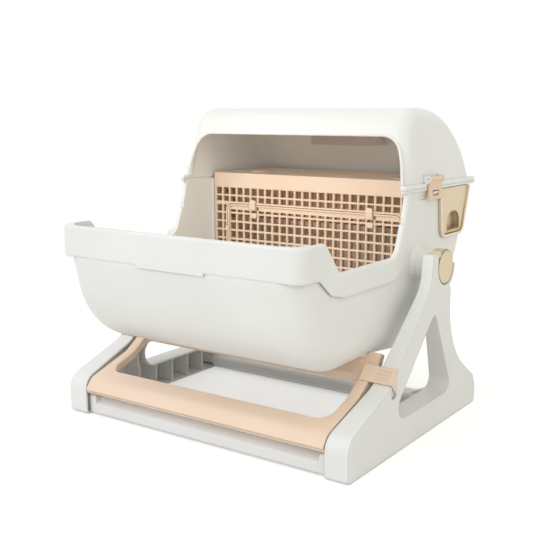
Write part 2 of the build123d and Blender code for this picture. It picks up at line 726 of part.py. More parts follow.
def rim_line():
    """Upper edge of lip, ears, side rims and the side walls' front edge."""
    return [
        (LIP_FRONT_Y - 30.0, LIP_TOP_Z, 0.0),
        (EAR_REAR_Y, LIP_TOP_Z, 9.0),
        (SIDE_RIM_Y, SIDE_RIM_Z, 16.0),
        (WALL_FOOT_Y, SIDE_RIM_Z, 25.0),
        (WALL_KNEE_Y, WALL_KNEE_Z, 60.0),
        (WALL_FRONT_Y, SEAM_Z - 0.2, 0.0),
    ]


def band_corners():
    """Side view of the skirt under the rim, from the lip to the wall's edge."""
    line = rim_line()
    line[0] = (LIP_FRONT_Y - 2.0, LIP_TOP_Z, 0.0)
    under = SIDE_RIM_Z - SIDE_RIM_DEPTH
    return line + [
        (WALL_FRONT_Y + WALL_EDGE_BAND, SEAM_Z - 0.2, 0.0),
        (WALL_KNEE_Y + WALL_EDGE_BAND, WALL_KNEE_Z, 40.0),
        (WALL_FOOT_Y + 16.0, under, 40.0),
        (SIDE_RIM_Y + 10.0, under + 1.0, 30.0),
        (SIDE_RIM_Y - 22.0, under + 9.0, 22.0),
        (EAR_REAR_Y - 14.0, LIP_BOTTOM_Z, 14.0),
        (LIP_FRONT_Y - 2.0, LIP_BOTTOM_Z, 0.0),
    ]


def lip_plan(depth):
    inner = LIP_FRONT_Y + LIP_BULGE
    ramp = LIP_BULGE_HALF + LIP_BULGE_RAMP
    corners = [
        (-LIP_HALF_WIDTH, 60.0, 0), (-LIP_HALF_WIDTH, inner, LIP_CORNER),
        (-ramp, inner, 60.0), (-LIP_BULGE_HALF, LIP_FRONT_Y, 60.0),
        (LIP_BULGE_HALF, LIP_FRONT_Y, 60.0), (ramp, inner, 60.0),
        (LIP_HALF_WIDTH, inner, LIP_CORNER), (LIP_HALF_WIDTH, 60.0, 0),
    ]
    return inset(corners, depth)


def flange_plan():
    return [
        (-FLANGE_HALF_WIDTH, FLANGE_FRONT_Y, 5.0), (FLANGE_HALF_WIDTH, FLANGE_FRONT_Y, 5.0),
        (FLANGE_HALF_WIDTH, FLANGE_REAR_Y, FLANGE_CORNER), (-FLANGE_HALF_WIDTH, FLANGE_REAR_Y, FLANGE_CORNER),
    ]


def panel_corners():
    return [
        (PANEL_FRONT_TOP_Y, PANEL_TOP_Z, 3.0), (PANEL_FRONT_FOOT_Y, PANEL_BOTTOM_Z, 16.0),
        (PANEL_REAR_FOOT_Y, PANEL_BOTTOM_Z, 18.0), (PANEL_REAR_TOP_Y, PANEL_TOP_Z, 3.0),
    ]


def tray_corners():
    corners = inset(panel_corners(), PANEL_LAP + SLIDE_GAP)
    return [(y, min(z, TRAY_TOP_Z), radius) for y, z, radius in corners]


def hub():
    """Right-hand boss on the basin's wall that the trunnion plugs into."""
    wall = BASIN_HALF_WIDTH
    end = HEAD_INNER_X - 2.0
    body = rod(wall - 1.0, end, PIVOT_Y, PIVOT_Z, HUB_RADIUS)
    foot = Pos(wall - 0.5 + 4.0, PIVOT_Y, PIVOT_Z) * Rot(0, 90, 0) * Cone(HUB_RADIUS + 7.0, HUB_RADIUS, 8.0)
    body += foot
    body -= rod(wall, end + 1.0, PIVOT_Y, PIVOT_Z, HUB_BORE)
    return body


def tray_underside_z():
    return PANEL_BOTTOM_Z + PANEL_LAP + SLIDE_GAP


def basin():
    """Tub with lip, ears, side rims, seam flange and the guides inside."""
    side = along_x(outline(band_corners()), -LIP_HALF_WIDTH, LIP_HALF_WIDTH)
    skirt = side & along_z(outline(lip_plan(0.0)), 200.0, 400.0)
    rim = []
    for edge in skirt.edges():
        centre = edge.center()
        size = edge.bounding_box().size
        outer = abs(abs(centre.X) - LIP_HALF_WIDTH) < 0.1 or centre.Y < EAR_REAR_Y - 10.0
        if outer and centre.Z > SIDE_RIM_Z - 0.5 and centre.Y < WALL_FRONT_Y and size.X + size.Y > 0.5:
            rim.append(edge)
    skirt = fillet(rim, RIM_ROUND)
    hollow_line = inset(band_corners(), LIP_CAP)
    hollow = along_x(outline(hollow_line), -LIP_HALF_WIDTH, LIP_HALF_WIDTH)
    hollow += Pos(0, 0, -LIP_CAP - 3.0) * hollow
    skirt -= hollow & along_z(outline(lip_plan(LIP_SKIN)), 200.0, 400.0)
    apron = along_y(
        outline(rectangle(-LIP_BULGE_HALF - 6.0, LIP_BULGE_HALF + 6.0, LIP_BOTTOM_Z - 2.5, LIP_BOTTOM_Z + 8.0, 2.4)),
        LIP_FRONT_Y, LIP_FRONT_Y + LIP_SKIN,
    )
    skirt += apron & along_z(outline(lip_plan(0.0)), 200.0, 400.0)

    flange = along_z(outline(flange_plan()), SEAM_Z - FLANGE_LOWER, SEAM_Z)
    lower_rim = flange.faces().sort_by(Axis.Z)[0].edges()
    flange = fillet(lower_rim, 2.2)

    body = tub_block(0.0, SEAM_Z) + skirt + flange
    body -= tub_block(BASIN_WALL, SEAM_Z + 12.0)
    line = rim_line()
    line[0] = (LIP_FRONT_Y - 30.0, LIP_TOP_Z, 0.0)
    line[-1] = (WALL_FRONT_Y, SEAM_Z - FLANGE_LOWER, 0.0)
    cut = line + [(LIP_FRONT_Y - 30.0, SEAM_Z - FLANGE_LOWER, 0.0)]
    body -= along_x(outline(cut), -LIP_HALF_WIDTH - 5.0, LIP_HALF_WIDTH + 5.0)
    mouth = BASIN_HALF_WIDTH - BASIN_WALL
    body -= block(-mouth, mouth, LIP_FRONT_Y - 5.0, WALL_FRONT_Y + 20.0, LIP_TOP_Z + 1.0, SEAM_Z + 5.0)
    body -= block(-300, 300, LIP_FRONT_Y - 5.0, FLANGE_FRONT_Y, LIP_TOP_Z + 1.0, SEAM_Z + 5.0)

    # Opening in the right wall for the drawer.
    opening = outline(inset(panel_corners(), PANEL_LAP))
    body -= along_x(opening, BASIN_HALF_WIDTH - 20.0, BASIN_HALF_WIDTH + 5.0)

    inner = BASIN_HALF_WIDTH - BASIN_WALL
    # Channels that hold the sieve partition upright.
    for y0, y1 in (
        (SIEVE_Y - SEAT_GAP - CHANNEL_RIB, SIEVE_Y - SEAT_GAP),
        (SIEVE_Y + SIEVE_SHEET + SEAT_GAP, SIEVE_Y + SIEVE_SHEET + SEAT_GAP + CHANNEL_RIB),
    ):
        rib = block(inner - CHANNEL_REACH, inner + 1.0, y0, y1, GRID_FOOT_Z, SEAM_Z - 3.0)
        body += rib
        body += other_side(rib)

    # Shelf on the rear wall under the partition's ledge.
    shelf = block(-70, 70, LEDGE_REAR_Y - 9.0, rear_line_y(SEAM_Z) - 1.5, SEAM_Z - 6.0, shelf_top_z())
    body += shelf
    # Brackets under the drawer's rails.
    for x in (-inner, inner - RAIL_BRACKET):
        for y0, y1 in rail_spans():
            top = tray_underside_z() - SEAT_GAP - RAIL_SHEET
            body += block(x - 1.0, x + RAIL_BRACKET + 1.0, y0 + 1.5, y1 - 1.5, top - 6.0, top)

    # Nubs that hold the latches, and a short slot ahead of each.
    nub_y = (LATCH_FRONT_Y + LATCH_REAR_Y) / 2
    nub = outline([
        (BASIN_HALF_WIDTH - 1.0, LATCH_FOOT_Z + 3.0, 0), (BASIN_HALF_WIDTH + NUB_REACH, LATCH_FOOT_Z + 9.0, 1.0),
        (BASIN_HALF_WIDTH + NUB_REACH, LATCH_FOOT_Z + 11.5, 1.0), (BASIN_HALF_WIDTH - 1.0, LATCH_FOOT_Z + 12.0, 0),
    ])
    nub_solid = along_y(nub, nub_y - 9.0, nub_y + 9.0)
    slot = rectangle(LATCH_FRONT_Y - 20.0, LATCH_FRONT_Y + 4.0, LATCH_FOOT_Z, LATCH_FOOT_Z + 7.0, 3.0)
    slot_solid = along_x(outline(slot), BASIN_HALF_WIDTH - 1.4, BASIN_HALF_WIDTH + 1.0)
    body += nub_solid
    body += other_side(nub_solid)
    body -= slot_solid
    body -= other_side(slot_solid)

    boss = hub()
    body += boss
    body += other_side(boss)
    hole = rod(inner - 2.0, BASIN_HALF_WIDTH + 2.0, PIVOT_Y, PIVOT_Z, SCREW_RADIUS + 0.3)
    body -= hole
    body -= other_side(hole)
    return body


def shelf_top_z():
    return SIEVE_TOP_Z - SIEVE_SHEET - SEAT_GAP


# ---------------------------------------------------------------------------
# Drum: hood
# ---------------------------------------------------------------------------
def hood_corners(foot_z):
    front = HOOD_FRONT_TOP_Y - HOOD_FRONT_FOOT_Y
    rear = HOOD_REAR_FOOT_Y - HOOD_REAR_CORNER_Y
    share = (HOOD_TOP_Z - foot_z) / (HOOD_TOP_Z - SEAM_Z)
    return [
        (HOOD_FRONT_TOP_Y - front * share, foot_z, 0.0),
        (HOOD_FRONT_TOP_Y, HOOD_TOP_Z, HOOD_FRONT_RADIUS),
        (HOOD_REAR_CORNER_Y, HOOD_TOP_Z, HOOD_REAR_RADIUS),
        (HOOD_REAR_CORNER_Y + rear * share, foot_z, 0.0),
    ]


def hood_half(z, depth):
    """Half width of the drafted side walls at a height."""
    draft = (BASIN_HALF_WIDTH - HOOD_TOP_HALF) / (HOOD_TOP_Z - SEAM_Z)
    return BASIN_HALF_WIDTH - draft * (z - SEAM_Z) - depth


def drafted_slab(side, low, top, depth, radius, split_edge):
    """A side outline spread over the hood's width, drafted, with its long edges rounded."""
    foot_half = hood_half(low, depth)
    top_half = hood_half(top, depth)
    slab = along_x(outline(side), -foot_half, foot_half)
    section = [(-foot_half, low, 0), (foot_half, low, 0), (top_half, top, 0), (-top_half, top, 0)]
    depths = [corner[0] for corner in side]
    slab &= along_y(outline(section), min(depths) - 10.0, max(depths) + 10.0)
    edges = []
    for edge in slab.edges():
        centre = edge.center()
        size = edge.bounding_box().size
        flat = size.Z < 0.1 and centre.Z < top - 1.0
        if abs(centre.X) > top_half - 1.0 and abs(centre.Y - split_edge) > 0.1 and not flat:
            edges.append(edge)
    return fillet(edges, radius)


def hood_block(depth, foot_z):
    """The hood's outer form, or its hollow at a depth below that skin."""
    corners = inset(hood_corners(foot_z), depth)
    low = corners[0][1]
    top = corners[1][1]
    radius = HOOD_EDGE_RADIUS - depth
    front_side = [corners[0], corners[1], (HOOD_SPLIT_Y, top, 0), (HOOD_SPLIT_Y, low, 0)]
    rear_side = [(HOOD_SPLIT_Y, low, 0), (HOOD_SPLIT_Y, top, 0), corners[2], corners[3]]
    front = drafted_slab(front_side, low, top, depth, radius, HOOD_SPLIT_Y)
    rear = drafted_slab(rear_side, low, top, depth, radius, HOOD_SPLIT_Y)
    return front + rear


def entry_corners():
    return [
        (-ENTRY_HALF_FOOT, SEAM_Z - 30.0, 0), (-ENTRY_HALF_FOOT, SEAM_Z + 2.0, 0),
        (-ENTRY_HALF_MIDDLE, ENTRY_MIDDLE_Z, 80.0), (-ENTRY_HALF_TOP, ENTRY_TOP_Z, 34.0),
        (ENTRY_HALF_TOP, ENTRY_TOP_Z, 34.0), (ENTRY_HALF_MIDDLE, ENTRY_MIDDLE_Z, 80.0),
        (ENTRY_HALF_FOOT, SEAM_Z + 2.0, 0), (ENTRY_HALF_FOOT, SEAM_Z - 30.0, 0),
    ]


def latch_ear(y0, y1, sign):
    """A lug on the hood's flange that holds one end of a latch pin."""
    reach = LATCH_PIVOT_X + LATCH_BARREL
    top = LATCH_PIVOT_Z + LATCH_BARREL
    face = outline([
        (sign * (BASIN_HALF_WIDTH - 4.0), SEAM_Z + 2.0, 0), (sign * (FLANGE_HALF_WIDTH - 1.0), SEAM_Z + 2.0, 0),
        (sign * reach, LATCH_PIVOT_Z - 2.0, 2.0), (sign * reach, top, 3.0),
        (sign * (BASIN_HALF_WIDTH - 4.0), top + 3.0, 0),
    ])
    ear = along_y(face, y0, y1)
    return ear - rod_y(sign * LATCH_PIVOT_X, y0 - 1.0, y1 + 1.0, LATCH_PIVOT_Z, LATCH_PIN_RADIUS)


def hood():
    """Roof over the rear half, clipped to the basin along the seam."""
    base = SEAM_Z + SEAT_GAP
    flange = along_z(outline(flange_plan()), base, SEAM_Z + FLANGE_UPPER)
    upper_rim = flange.faces().sort_by(Axis.Z)[-1].edges()
    flange = fillet(upper_rim, 2.6)
    body = hood_block(0.0, base) + flange
    for sign in (-1, 1):
        for y0 in (LATCH_FRONT_Y - SEAT_GAP - LATCH_EAR, LATCH_REAR_Y + SEAT_GAP):
            body += latch_ear(y0, y0 + LATCH_EAR, sign)
    pocket = block(
        -GRIP_HALF_WIDTH - HOOD_WALL, GRIP_HALF_WIDTH + HOOD_WALL,
        GRIP_FLOOR_Y - HOOD_WALL, 300.0, GRIP_BOTTOM_Z - HOOD_WALL, GRIP_TOP_Z + HOOD_WALL,
    )
    inner = hood_block(HOOD_WALL, base - 20.0) - pocket
    body -= inner
    grip = along_y(
        outline(rectangle(-GRIP_HALF_WIDTH, GRIP_HALF_WIDTH, GRIP_BOTTOM_Z, GRIP_TOP_Z, 8.0)),
        GRIP_FLOOR_Y, 320.0,
    )
    body -= grip
    body -= along_y(outline(entry_corners()), -60.0, HOOD_FRONT_TOP_Y + 4.0)
    # Two shallow swages stiffen the roof.
    for x in (-92.0, 92.0):
        swage = outline(rectangle(x - 40.0, x + 40.0, 96.0, 104.0, 3.9))
        body -= along_z(swage, HOOD_TOP_Z - 0.8, HOOD_TOP_Z + 1.0)
    return body


# ---------------------------------------------------------------------------
# Drum: sieve partition, flap and drawer
# ---------------------------------------------------------------------------
def basin_floor_z(y, depth):
    """Height of the hollow's floor behind the flat part of the bottom."""
    lean = math.atan2(BASIN_REAR_TOP_Y - BASIN_REAR_FOOT_Y, SEAM_Z - BASIN_BOTTOM_Z)
    turn = math.pi / 2 - lean
    centre_y = BASIN_REAR_FOOT_Y - BASIN_REAR_RADIUS * math.tan(turn / 2)
    radius = BASIN_REAR_RADIUS - depth
    return BASIN_BOTTOM_Z + BASIN_REAR_RADIUS - math.sqrt(radius ** 2 - (y - centre_y) ** 2)


def flap_opening():
    gap = FLAP_GAP
    return rectangle(
        -FLAP_HALF_WIDTH - gap, FLAP_HALF_WIDTH + gap,
        FLAP_BOTTOM_Z - gap, FLAP_TOP_Z + gap, FLAP_CORNER + gap,
    )


def grid_rows():
    rows = []
    z = SIEVE_STRIP_Z
    while z - GRID_PITCH > GRID_FOOT_Z - 1.0:
        rows.append((z - GRID_PITCH, z))
        z -= GRID_PITCH
    return rows


def partition_holes():
    """Square holes of the fixed grid, trimmed where the flap's frame is."""
    holes = []
    half_bar = GRID_BAR / 2
    keep = FLAP_HALF_WIDTH + FLAP_GAP + FLAP_RIM
    keep_top = FLAP_TOP_Z + FLAP_GAP + FLAP_RIM
    keep_foot = FLAP_BOTTOM_Z - FLAP_GAP - FLAP_RIM
    for column in range(-GRID_COLUMNS, GRID_COLUMNS):
        left = column * GRID_PITCH + half_bar
        right = (column + 1) * GRID_PITCH - half_bar
        near_hinge = abs(abs((left + right) / 2) - HINGE_X) < GRID_PITCH / 2
        for row, (low, high) in enumerate(grid_rows()):
            x0, x1 = left, right
            z0, z1 = low + half_bar, high - half_bar
            if z0 < keep_top and z1 > keep_foot:
                if z1 > keep_top + 4.0:
                    z0 = max(z0, keep_top)
                elif z0 < keep_foot - 4.0:
                    z1 = min(z1, keep_foot)
                elif x0 > 0:
                    x0 = max(x0, keep)
                else:
                    x1 = min(x1, -keep)
            if near_hinge and row == 0:
                z0 = keep_top
            if near_hinge and row == 1:
                continue
            if x1 - x0 > 3.0 and z1 - z0 > 3.0:
                holes.append(rectangle(x0, x1, z0, z1))
    return holes


def sieve_partition():
    """Grid wall across the drum with the ledge that covers the drawer."""
    foot = basin_floor_z(SIEVE_Y + SIEVE_SHEET, BASIN_WALL) + SEAT_GAP
    border = [
        (-SIEVE_HALF_WIDTH, foot, BASIN_EDGE_REAR), (SIEVE_HALF_WIDTH, foot, BASIN_EDGE_REAR),
        (SIEVE_HALF_WIDTH, SEAM_Z - 2.0, 0), (LEDGE_HALF_WIDTH, SEAM_Z - 2.0, 0),
        (LEDGE_HALF_WIDTH, SIEVE_TOP_Z, 3.0), (-LEDGE_HALF_WIDTH, SIEVE_TOP_Z, 3.0),
        (-LEDGE_HALF_WIDTH, SEAM_Z - 2.0, 0), (-SIEVE_HALF_WIDTH, SEAM_Z - 2.0, 0),
    ]
    sheet = along_y(outline(border, partition_holes() + [flap_opening()]), SIEVE_Y, SIEVE_Y + SIEVE_SHEET)
    rim = outline(inset(flap_opening(), -FLAP_RIM), [flap_opening()])
    sheet += along_y(rim, SIEVE_Y - FLAP_RIM_RAISE, SIEVE_Y + SIEVE_SHEET)
    # Catch lugs in front of the flap's side edges keep it from swinging forward.
    for z in (FLAP_BOTTOM_Z + 30.0, FLAP_BOTTOM_Z + 80.0):
        lug = block(
            FLAP_HALF_WIDTH - 3.0, FLAP_HALF_WIDTH + FLAP_GAP + FLAP_RIM,
            SIEVE_Y - FLAP_RIM_RAISE - 2.6, SIEVE_Y - FLAP_RIM_RAISE - SEAT_GAP, z, z + 8.0,
        )
        root = block(
            FLAP_HALF_WIDTH + FLAP_GAP, FLAP_HALF_WIDTH + FLAP_GAP + FLAP_RIM,
            SIEVE_Y - FLAP_RIM_RAISE - 2.6, SIEVE_Y, z, z + 8.0,
        )
        sheet += lug + root
        sheet += other_side(lug + root)
    ledge = along_z(
        outline([
            (-LEDGE_HALF_WIDTH, SIEVE_Y, 0), (LEDGE_HALF_WIDTH, SIEVE_Y, 0),
            (LEDGE_HALF_WIDTH, LEDGE_REAR_Y, 22.0), (-LEDGE_HALF_WIDTH, LEDGE_REAR_Y, 22.0),
        ]),
        SIEVE_TOP_Z - SIEVE_SHEET, SIEVE_TOP_Z,
    )
    for x in (-LEDGE_HOLE_X, LEDGE_HOLE_X):
        ledge += rod_z(x, LEDGE_HOLE_Y, SIEVE_TOP_Z - SIEVE_SHEET, SIEVE_TOP_Z + 1.5, LEDGE_HOLE_RADIUS + 2.5)
        ledge -= rod_z(x, LEDGE_HOLE_Y, SIEVE_TOP_Z - 20.0, SIEVE_TOP_Z + 5.0, LEDGE_HOLE_RADIUS)
    sheet += ledge
    # Brackets behind the sheet stiffen the corner under the ledge.
    for x in (-180.0, -90.0, 0.0, 90.0, 180.0):
        gusset = outline([
            (SIEVE_Y + 1.0, SIEVE_STRIP_Z + 2.0, 0), (SIEVE_Y + SIEVE_SHEET, SIEVE_STRIP_Z + 2.0, 0),
            (SIEVE_Y + 22.0, SIEVE_TOP_Z - SIEVE_SHEET, 0), (SIEVE_Y + 22.0, SIEVE_TOP_Z - 1.0, 0),
            (SIEVE_Y + 1.0, SIEVE_TOP_Z - 1.0, 0),
        ])
        sheet += along_x(gusset, x - 1.2, x + 1.2)
    # Eyes for the flap's pins, on both sides of each knuckle.
    for x in hinge_eyes():
        eye = outline([
            (SIEVE_Y + 0.2, HINGE_Z - 1.5, 0), (hinge_y() + 3.0, HINGE_Z - 3.2, 2.0),
            (hinge_y() + 3.0, FLAP_TOP_Z + FLAP_GAP + 3.0, 1.0), (SIEVE_Y + 0.2, FLAP_TOP_Z + FLAP_GAP + 3.0, 0),
        ])
        eye_solid = along_x(eye, x, x + 3.0)
        sheet += eye_solid - rod(x - 1.0, x + 4.0, hinge_y(), HINGE_Z, HINGE_PIN_RADIUS)
    return sheet


def hinge_y():
    return SIEVE_Y + SIEVE_SHEET + HINGE_BARREL_RADIUS


def hinge_eyes():
    eyes = []
    reach = HINGE_BARREL_LENGTH / 2 + SEAT_GAP
    for x in (-HINGE_X, HINGE_X):
        eyes.append(x - reach - 3.0)
        eyes.append(x + reach)
    return eyes


def flap_notches():
    """Clear space in the flap's upper corner for the pin eyes."""
    notches = []
    for x in hinge_eyes():
        notches.append(block(
            x - FLAP_GAP, x + 3.0 + FLAP_GAP, SIEVE_Y - 5.0, SIEVE_Y + 20.0,
            HINGE_Z - 6.0, FLAP_TOP_Z + 5.0,
        ))
    return notches


def sieve_flap():
    """One-way grid door in the partition, hung on two short pins."""
    border = rectangle(-FLAP_HALF_WIDTH, FLAP_HALF_WIDTH, FLAP_BOTTOM_Z, FLAP_TOP_Z, FLAP_CORNER)
    half_bar = GRID_BAR / 2
    keep = FLAP_HALF_WIDTH - FLAP_RIM
    holes = []
    for column in range(-GRID_COLUMNS, GRID_COLUMNS):
        x0 = max(column * GRID_PITCH + half_bar, -keep)
        x1 = min((column + 1) * GRID_PITCH - half_bar, keep)
        for low, high in grid_rows():
            z0 = max(low + half_bar, FLAP_BOTTOM_Z + FLAP_RIM + 1.2)
            z1 = min(high - half_bar, HINGE_Z - 7.0)
            if x1 - x0 > 3.0 and z1 - z0 > 3.0:
                holes.append(rectangle(x0, x1, z0, z1))
    sheet = along_y(outline(border, holes), SIEVE_Y, SIEVE_Y + SIEVE_SHEET)
    rim = outline(border, [inset(border, FLAP_RIM)])
    sheet += along_y(rim, SIEVE_Y - FLAP_RIM_RAISE, SIEVE_Y + 1.0)
    for notch in flap_notches():
        sheet -= notch
    for x in (-HINGE_X, HINGE_X):
        x0 = x - HINGE_BARREL_LENGTH / 2
        x1 = x + HINGE_BARREL_LENGTH / 2
        sheet += rod(x0, x1, hinge_y(), HINGE_Z, HINGE_BARREL_RADIUS)
        sheet += block(x0, x1, SIEVE_Y + 1.0, hinge_y(), HINGE_Z - HINGE_BARREL_RADIUS, HINGE_Z + 1.0)
        sheet -= rod(x0 - 1.0, x1 + 1.0, hinge_y(), HINGE_Z, HINGE_PIN_RADIUS + HINGE_PIN_GAP)
    return sheet


def flap_hinge_pins():
    pins = []
    reach = HINGE_BARREL_LENGTH / 2 + SEAT_GAP + 3.0
    for x in (-HINGE_X, HINGE_X):
        pin = rod(x - reach - 1.2, x + reach, hinge_y(), HINGE_Z, HINGE_PIN_RADIUS)
        pin += rod(x - reach - 1.2, x - reach - 0.0, hinge_y(), HINGE_Z, HINGE_PIN_RADIUS + 1.0)
        pins.append(pin.solid())
    return Compound(children=pins)


def rail_spans():
    """Front-to-back extent of the two rails under the drawer."""
    corners = inset(panel_corners(), PANEL_LAP + SLIDE_GAP)
    front = corners[1][0]
    rear = corners[2][0]
    wall = rear_line_y(tray_underside_z() - 12.0) - BASIN_WALL - 1.5
    return [(front - 3.0, front + RAIL_FLANGE), (rear - RAIL_FLANGE, wall - SEAT_GAP)]


def drawer_rail(y0, y1, lip_y0, corner):
    inner = BASIN_HALF_WIDTH - BASIN_WALL - SEAT_GAP
    top = tray_underside_z() - SEAT_GAP
    plan = outline([(-inner, y0, 0), (inner, y0, 0), (inner, y1, corner), (-inner, y1, corner)])
    rail = along_z(plan, top - RAIL_SHEET, top)
    lip_half = inner - BASIN_EDGE_REAR
    rail += block(-lip_half, lip_half, lip_y0, lip_y0 + 2.4, top - RAIL_SHEET, top + 4.0)
    rail += block(-lip_half, lip_half, y0 + 3.0, y0 + 5.4, top - 9.0, top - 1.0)
    return rail


def drawer_rail_front():
    (y0, y1), _ = rail_spans()
    return drawer_rail(y0, y1, y0 - 2.0, 3.0)


def drawer_rail_rear():
    _, (y0, y1) = rail_spans()
    return drawer_rail(y0, y1, y1 - 2.4, BASIN_EDGE_REAR)


def drawer_tray():
    """Long bin that lies across the drum under the ledge."""
    corners = tray_corners()
    end_x = BASIN_HALF_WIDTH - 4.0
    tray = along_x(outline(corners), TRAY_END_X, end_x)
    inner = inset(corners, TRAY_WALL)
    inner[0] = (inner[0][0], TRAY_TOP_Z + 8.0, 0.0)
    inner[3] = (inner[3][0], TRAY_TOP_Z + 8.0, 0.0)
    tray -= along_x(outline(inner), TRAY_END_X + TRAY_WALL, end_x - TRAY_WALL)
    # Slotted floor lets fine litter fall back.
    y0 = corners[1][0] + 16.0
    y1 = corners[2][0] - 18.0
    pitch = (end_x - TRAY_END_X - 30.0) / TRAY_SLOTS
    for slot in range(TRAY_SLOTS):
        x = TRAY_END_X + 15.0 + pitch * (slot + 0.5)
        tray -= block(x - 5.0, x + 5.0, y0, y1, tray_underside_z() - 5.0, tray_underside_z() + 5.0)
    # Room for the grip pocket of the drawer's front.
    tray -= along_x(outline(inset(recess_corners(), -TRAY_WALL - SEAT_GAP)), end_x - RECESS_DEPTH, end_x + 1.0)
    return tray


def recess_corners():
    return [
        (RECESS_CENTRE_Y - RECESS_HALF, RECESS_BOTTOM_Z, 4.0),
        (RECESS_CENTRE_Y + RECESS_HALF, RECESS_BOTTOM_Z, 4.0),
        (RECESS_CENTRE_Y + RECESS_HALF - 2.0, RECESS_TOP_Z, 20.0),
        (RECESS_CENTRE_Y - RECESS_HALF + 2.0, RECESS_TOP_Z, 20.0),
    ]


def drawer_front():
    """Outer panel with a raised bezel and an arched finger recess."""
    x0 = BASIN_HALF_WIDTH + SEAT_GAP
    x1 = x0 + PANEL_THICKNESS
    panel = along_x(outline(panel_corners()), x0, x1)
    panel = fillet(panel.faces().sort_by(Axis.X)[-1].edges(), 1.4)
    # The field lies lower than the bezel around it.
    field = inset(panel_corners(), PANEL_BEZEL)
    field[0] = (field[0][0], PANEL_TOP_Z + 5.0, 0.0)
    field[3] = (field[3][0], PANEL_TOP_Z + 5.0, 0.0)
    panel -= along_x(outline(field), x1 - PANEL_STEP, x1 + 1.0)
    plug = outline(inset(tray_corners(), TRAY_WALL + 0.4))
    panel += along_x(plug, x0 - 4.0, x0 + 1.0)
    pocket = outline(inset(recess_corners(), -TRAY_WALL))
    panel += along_x(pocket, x1 - RECESS_DEPTH - TRAY_WALL, x1 - PANEL_STEP)
    panel -= along_x(outline(recess_corners()), x1 - RECESS_DEPTH, x1 + PANEL_STEP + 5.0)
    return panel


# ---------------------------------------------------------------------------
# Drum: trunnions, screws and latches
# ---------------------------------------------------------------------------
def trunnion():
    """Right-hand journal: a smooth cap in the stand's slot, plugged into the hub."""
    cap_x = STAND_HALF - 0.4
    journal_x = HEAD_INNER_X + 0.6
    journal = rod(journal_x, cap_x, PIVOT_Y, PIVOT_Z, JOURNAL_RADIUS)
    body = fillet(journal.edges().group_by(Axis.X)[-1], 1.8)
    # The stub sits in the hub's bore, the collar against the hub's end.
    body += rod(BASIN_HALF_WIDTH + SEAT_GAP, journal_x + 1.0, PIVOT_Y, PIVOT_Z, HUB_BORE - SEAT_GAP)
    body += rod(HEAD_INNER_X - 2.0 + SEAT_GAP, journal_x + 0.5, PIVOT_Y, PIVOT_Z, HUB_RADIUS)
    turn = math.radians(TRUNNION_STOP_ANGLE)
    stop_y = PIVOT_Y + TRUNNION_STOP_REACH * math.cos(turn)
    stop_z = PIVOT_Z + TRUNNION_STOP_REACH * math.sin(turn)
    stop = rod(journal_x, cap_x, stop_y, stop_z, TRUNNION_STOP_RADIUS)
    body += fillet(stop.edges().group_by(Axis.X)[-1], 1.2)
    end = BASIN_HALF_WIDTH - BASIN_WALL + SCREW_LENGTH + 1.0
    body -= rod(BASIN_HALF_WIDTH - 1.0, end, PIVOT_Y, PIVOT_Z, SCREW_RADIUS)
    return body


def trunnion_screws():
    screws = []
    head_x = BASIN_HALF_WIDTH - BASIN_WALL
    for sign in (-1, 1):
        screw = rod(head_x - 3.0, head_x, PIVOT_Y, PIVOT_Z, SCREW_HEAD_RADIUS)
        screw = fillet(screw.edges().group_by(Axis.X)[0], 1.2)
        screw += rod(head_x - 0.5, head_x - 0.5 + SCREW_LENGTH, PIVOT_Y, PIVOT_Z, SCREW_RADIUS)
        for half_y, half_z in ((3.4, 0.6), (0.6, 3.4)):
            screw -= block(
                head_x - 4.0, head_x - 1.6, PIVOT_Y - half_y, PIVOT_Y + half_y,
                PIVOT_Z - half_z, PIVOT_Z + half_z,
            )
        screws.append(screw.solid() if sign > 0 else other_side(screw).solid())
    return Compound(children=screws)


def latch():
    """Right-hand strap that hangs on the hood and snaps over the basin's nub."""
    y0 = LATCH_FRONT_Y
    y1 = LATCH_REAR_Y
    inner = FLANGE_HALF_WIDTH + 0.8
    outer = inner + LATCH_SHEET
    face = outline([
        (inner, LATCH_FOOT_Z, 0), (outer + 1.6, LATCH_FOOT_Z - 1.5, 1.2), (outer + 1.6, LATCH_FOOT_Z + 2.0, 1.2),
        (outer, LATCH_FOOT_Z + 6.0, 6.0), (outer, LATCH_PIVOT_Z, 0), (inner, LATCH_PIVOT_Z, 0),
    ])
    strap = along_y(face, y0, y1)
    shape = rectangle(y0, y1, LATCH_FOOT_Z - 3.0, LATCH_PIVOT_Z + 4.0, 4.0)
    strap &= along_x(outline(shape), inner - 1.0, outer + 4.0)
    strap += rod_y(LATCH_PIVOT_X, y0, y1, LATCH_PIVOT_Z, LATCH_BARREL)
    window = rectangle(y0 + 11.0, y1 - 11.0, LATCH_FOOT_Z + 4.6, LATCH_FOOT_Z + 13.6, 1.5)
    strap -= along_x(outline(window), inner - 3.0, outer + 4.0)
    strap -= rod_y(LATCH_PIVOT_X, y0 - 1.0, y1 + 1.0, LATCH_PIVOT_Z, LATCH_PIN_RADIUS + LATCH_PIN_GAP)
    return strap


def latch_pins():
    pins = []
    for x in (-LATCH_PIVOT_X, LATCH_PIVOT_X):
        reach = SEAT_GAP + LATCH_EAR
        pins.append(rod_y(x, LATCH_FRONT_Y - reach, LATCH_REAR_Y + reach, LATCH_PIVOT_Z, LATCH_PIN_RADIUS).solid())
    return Compound(children=pins)


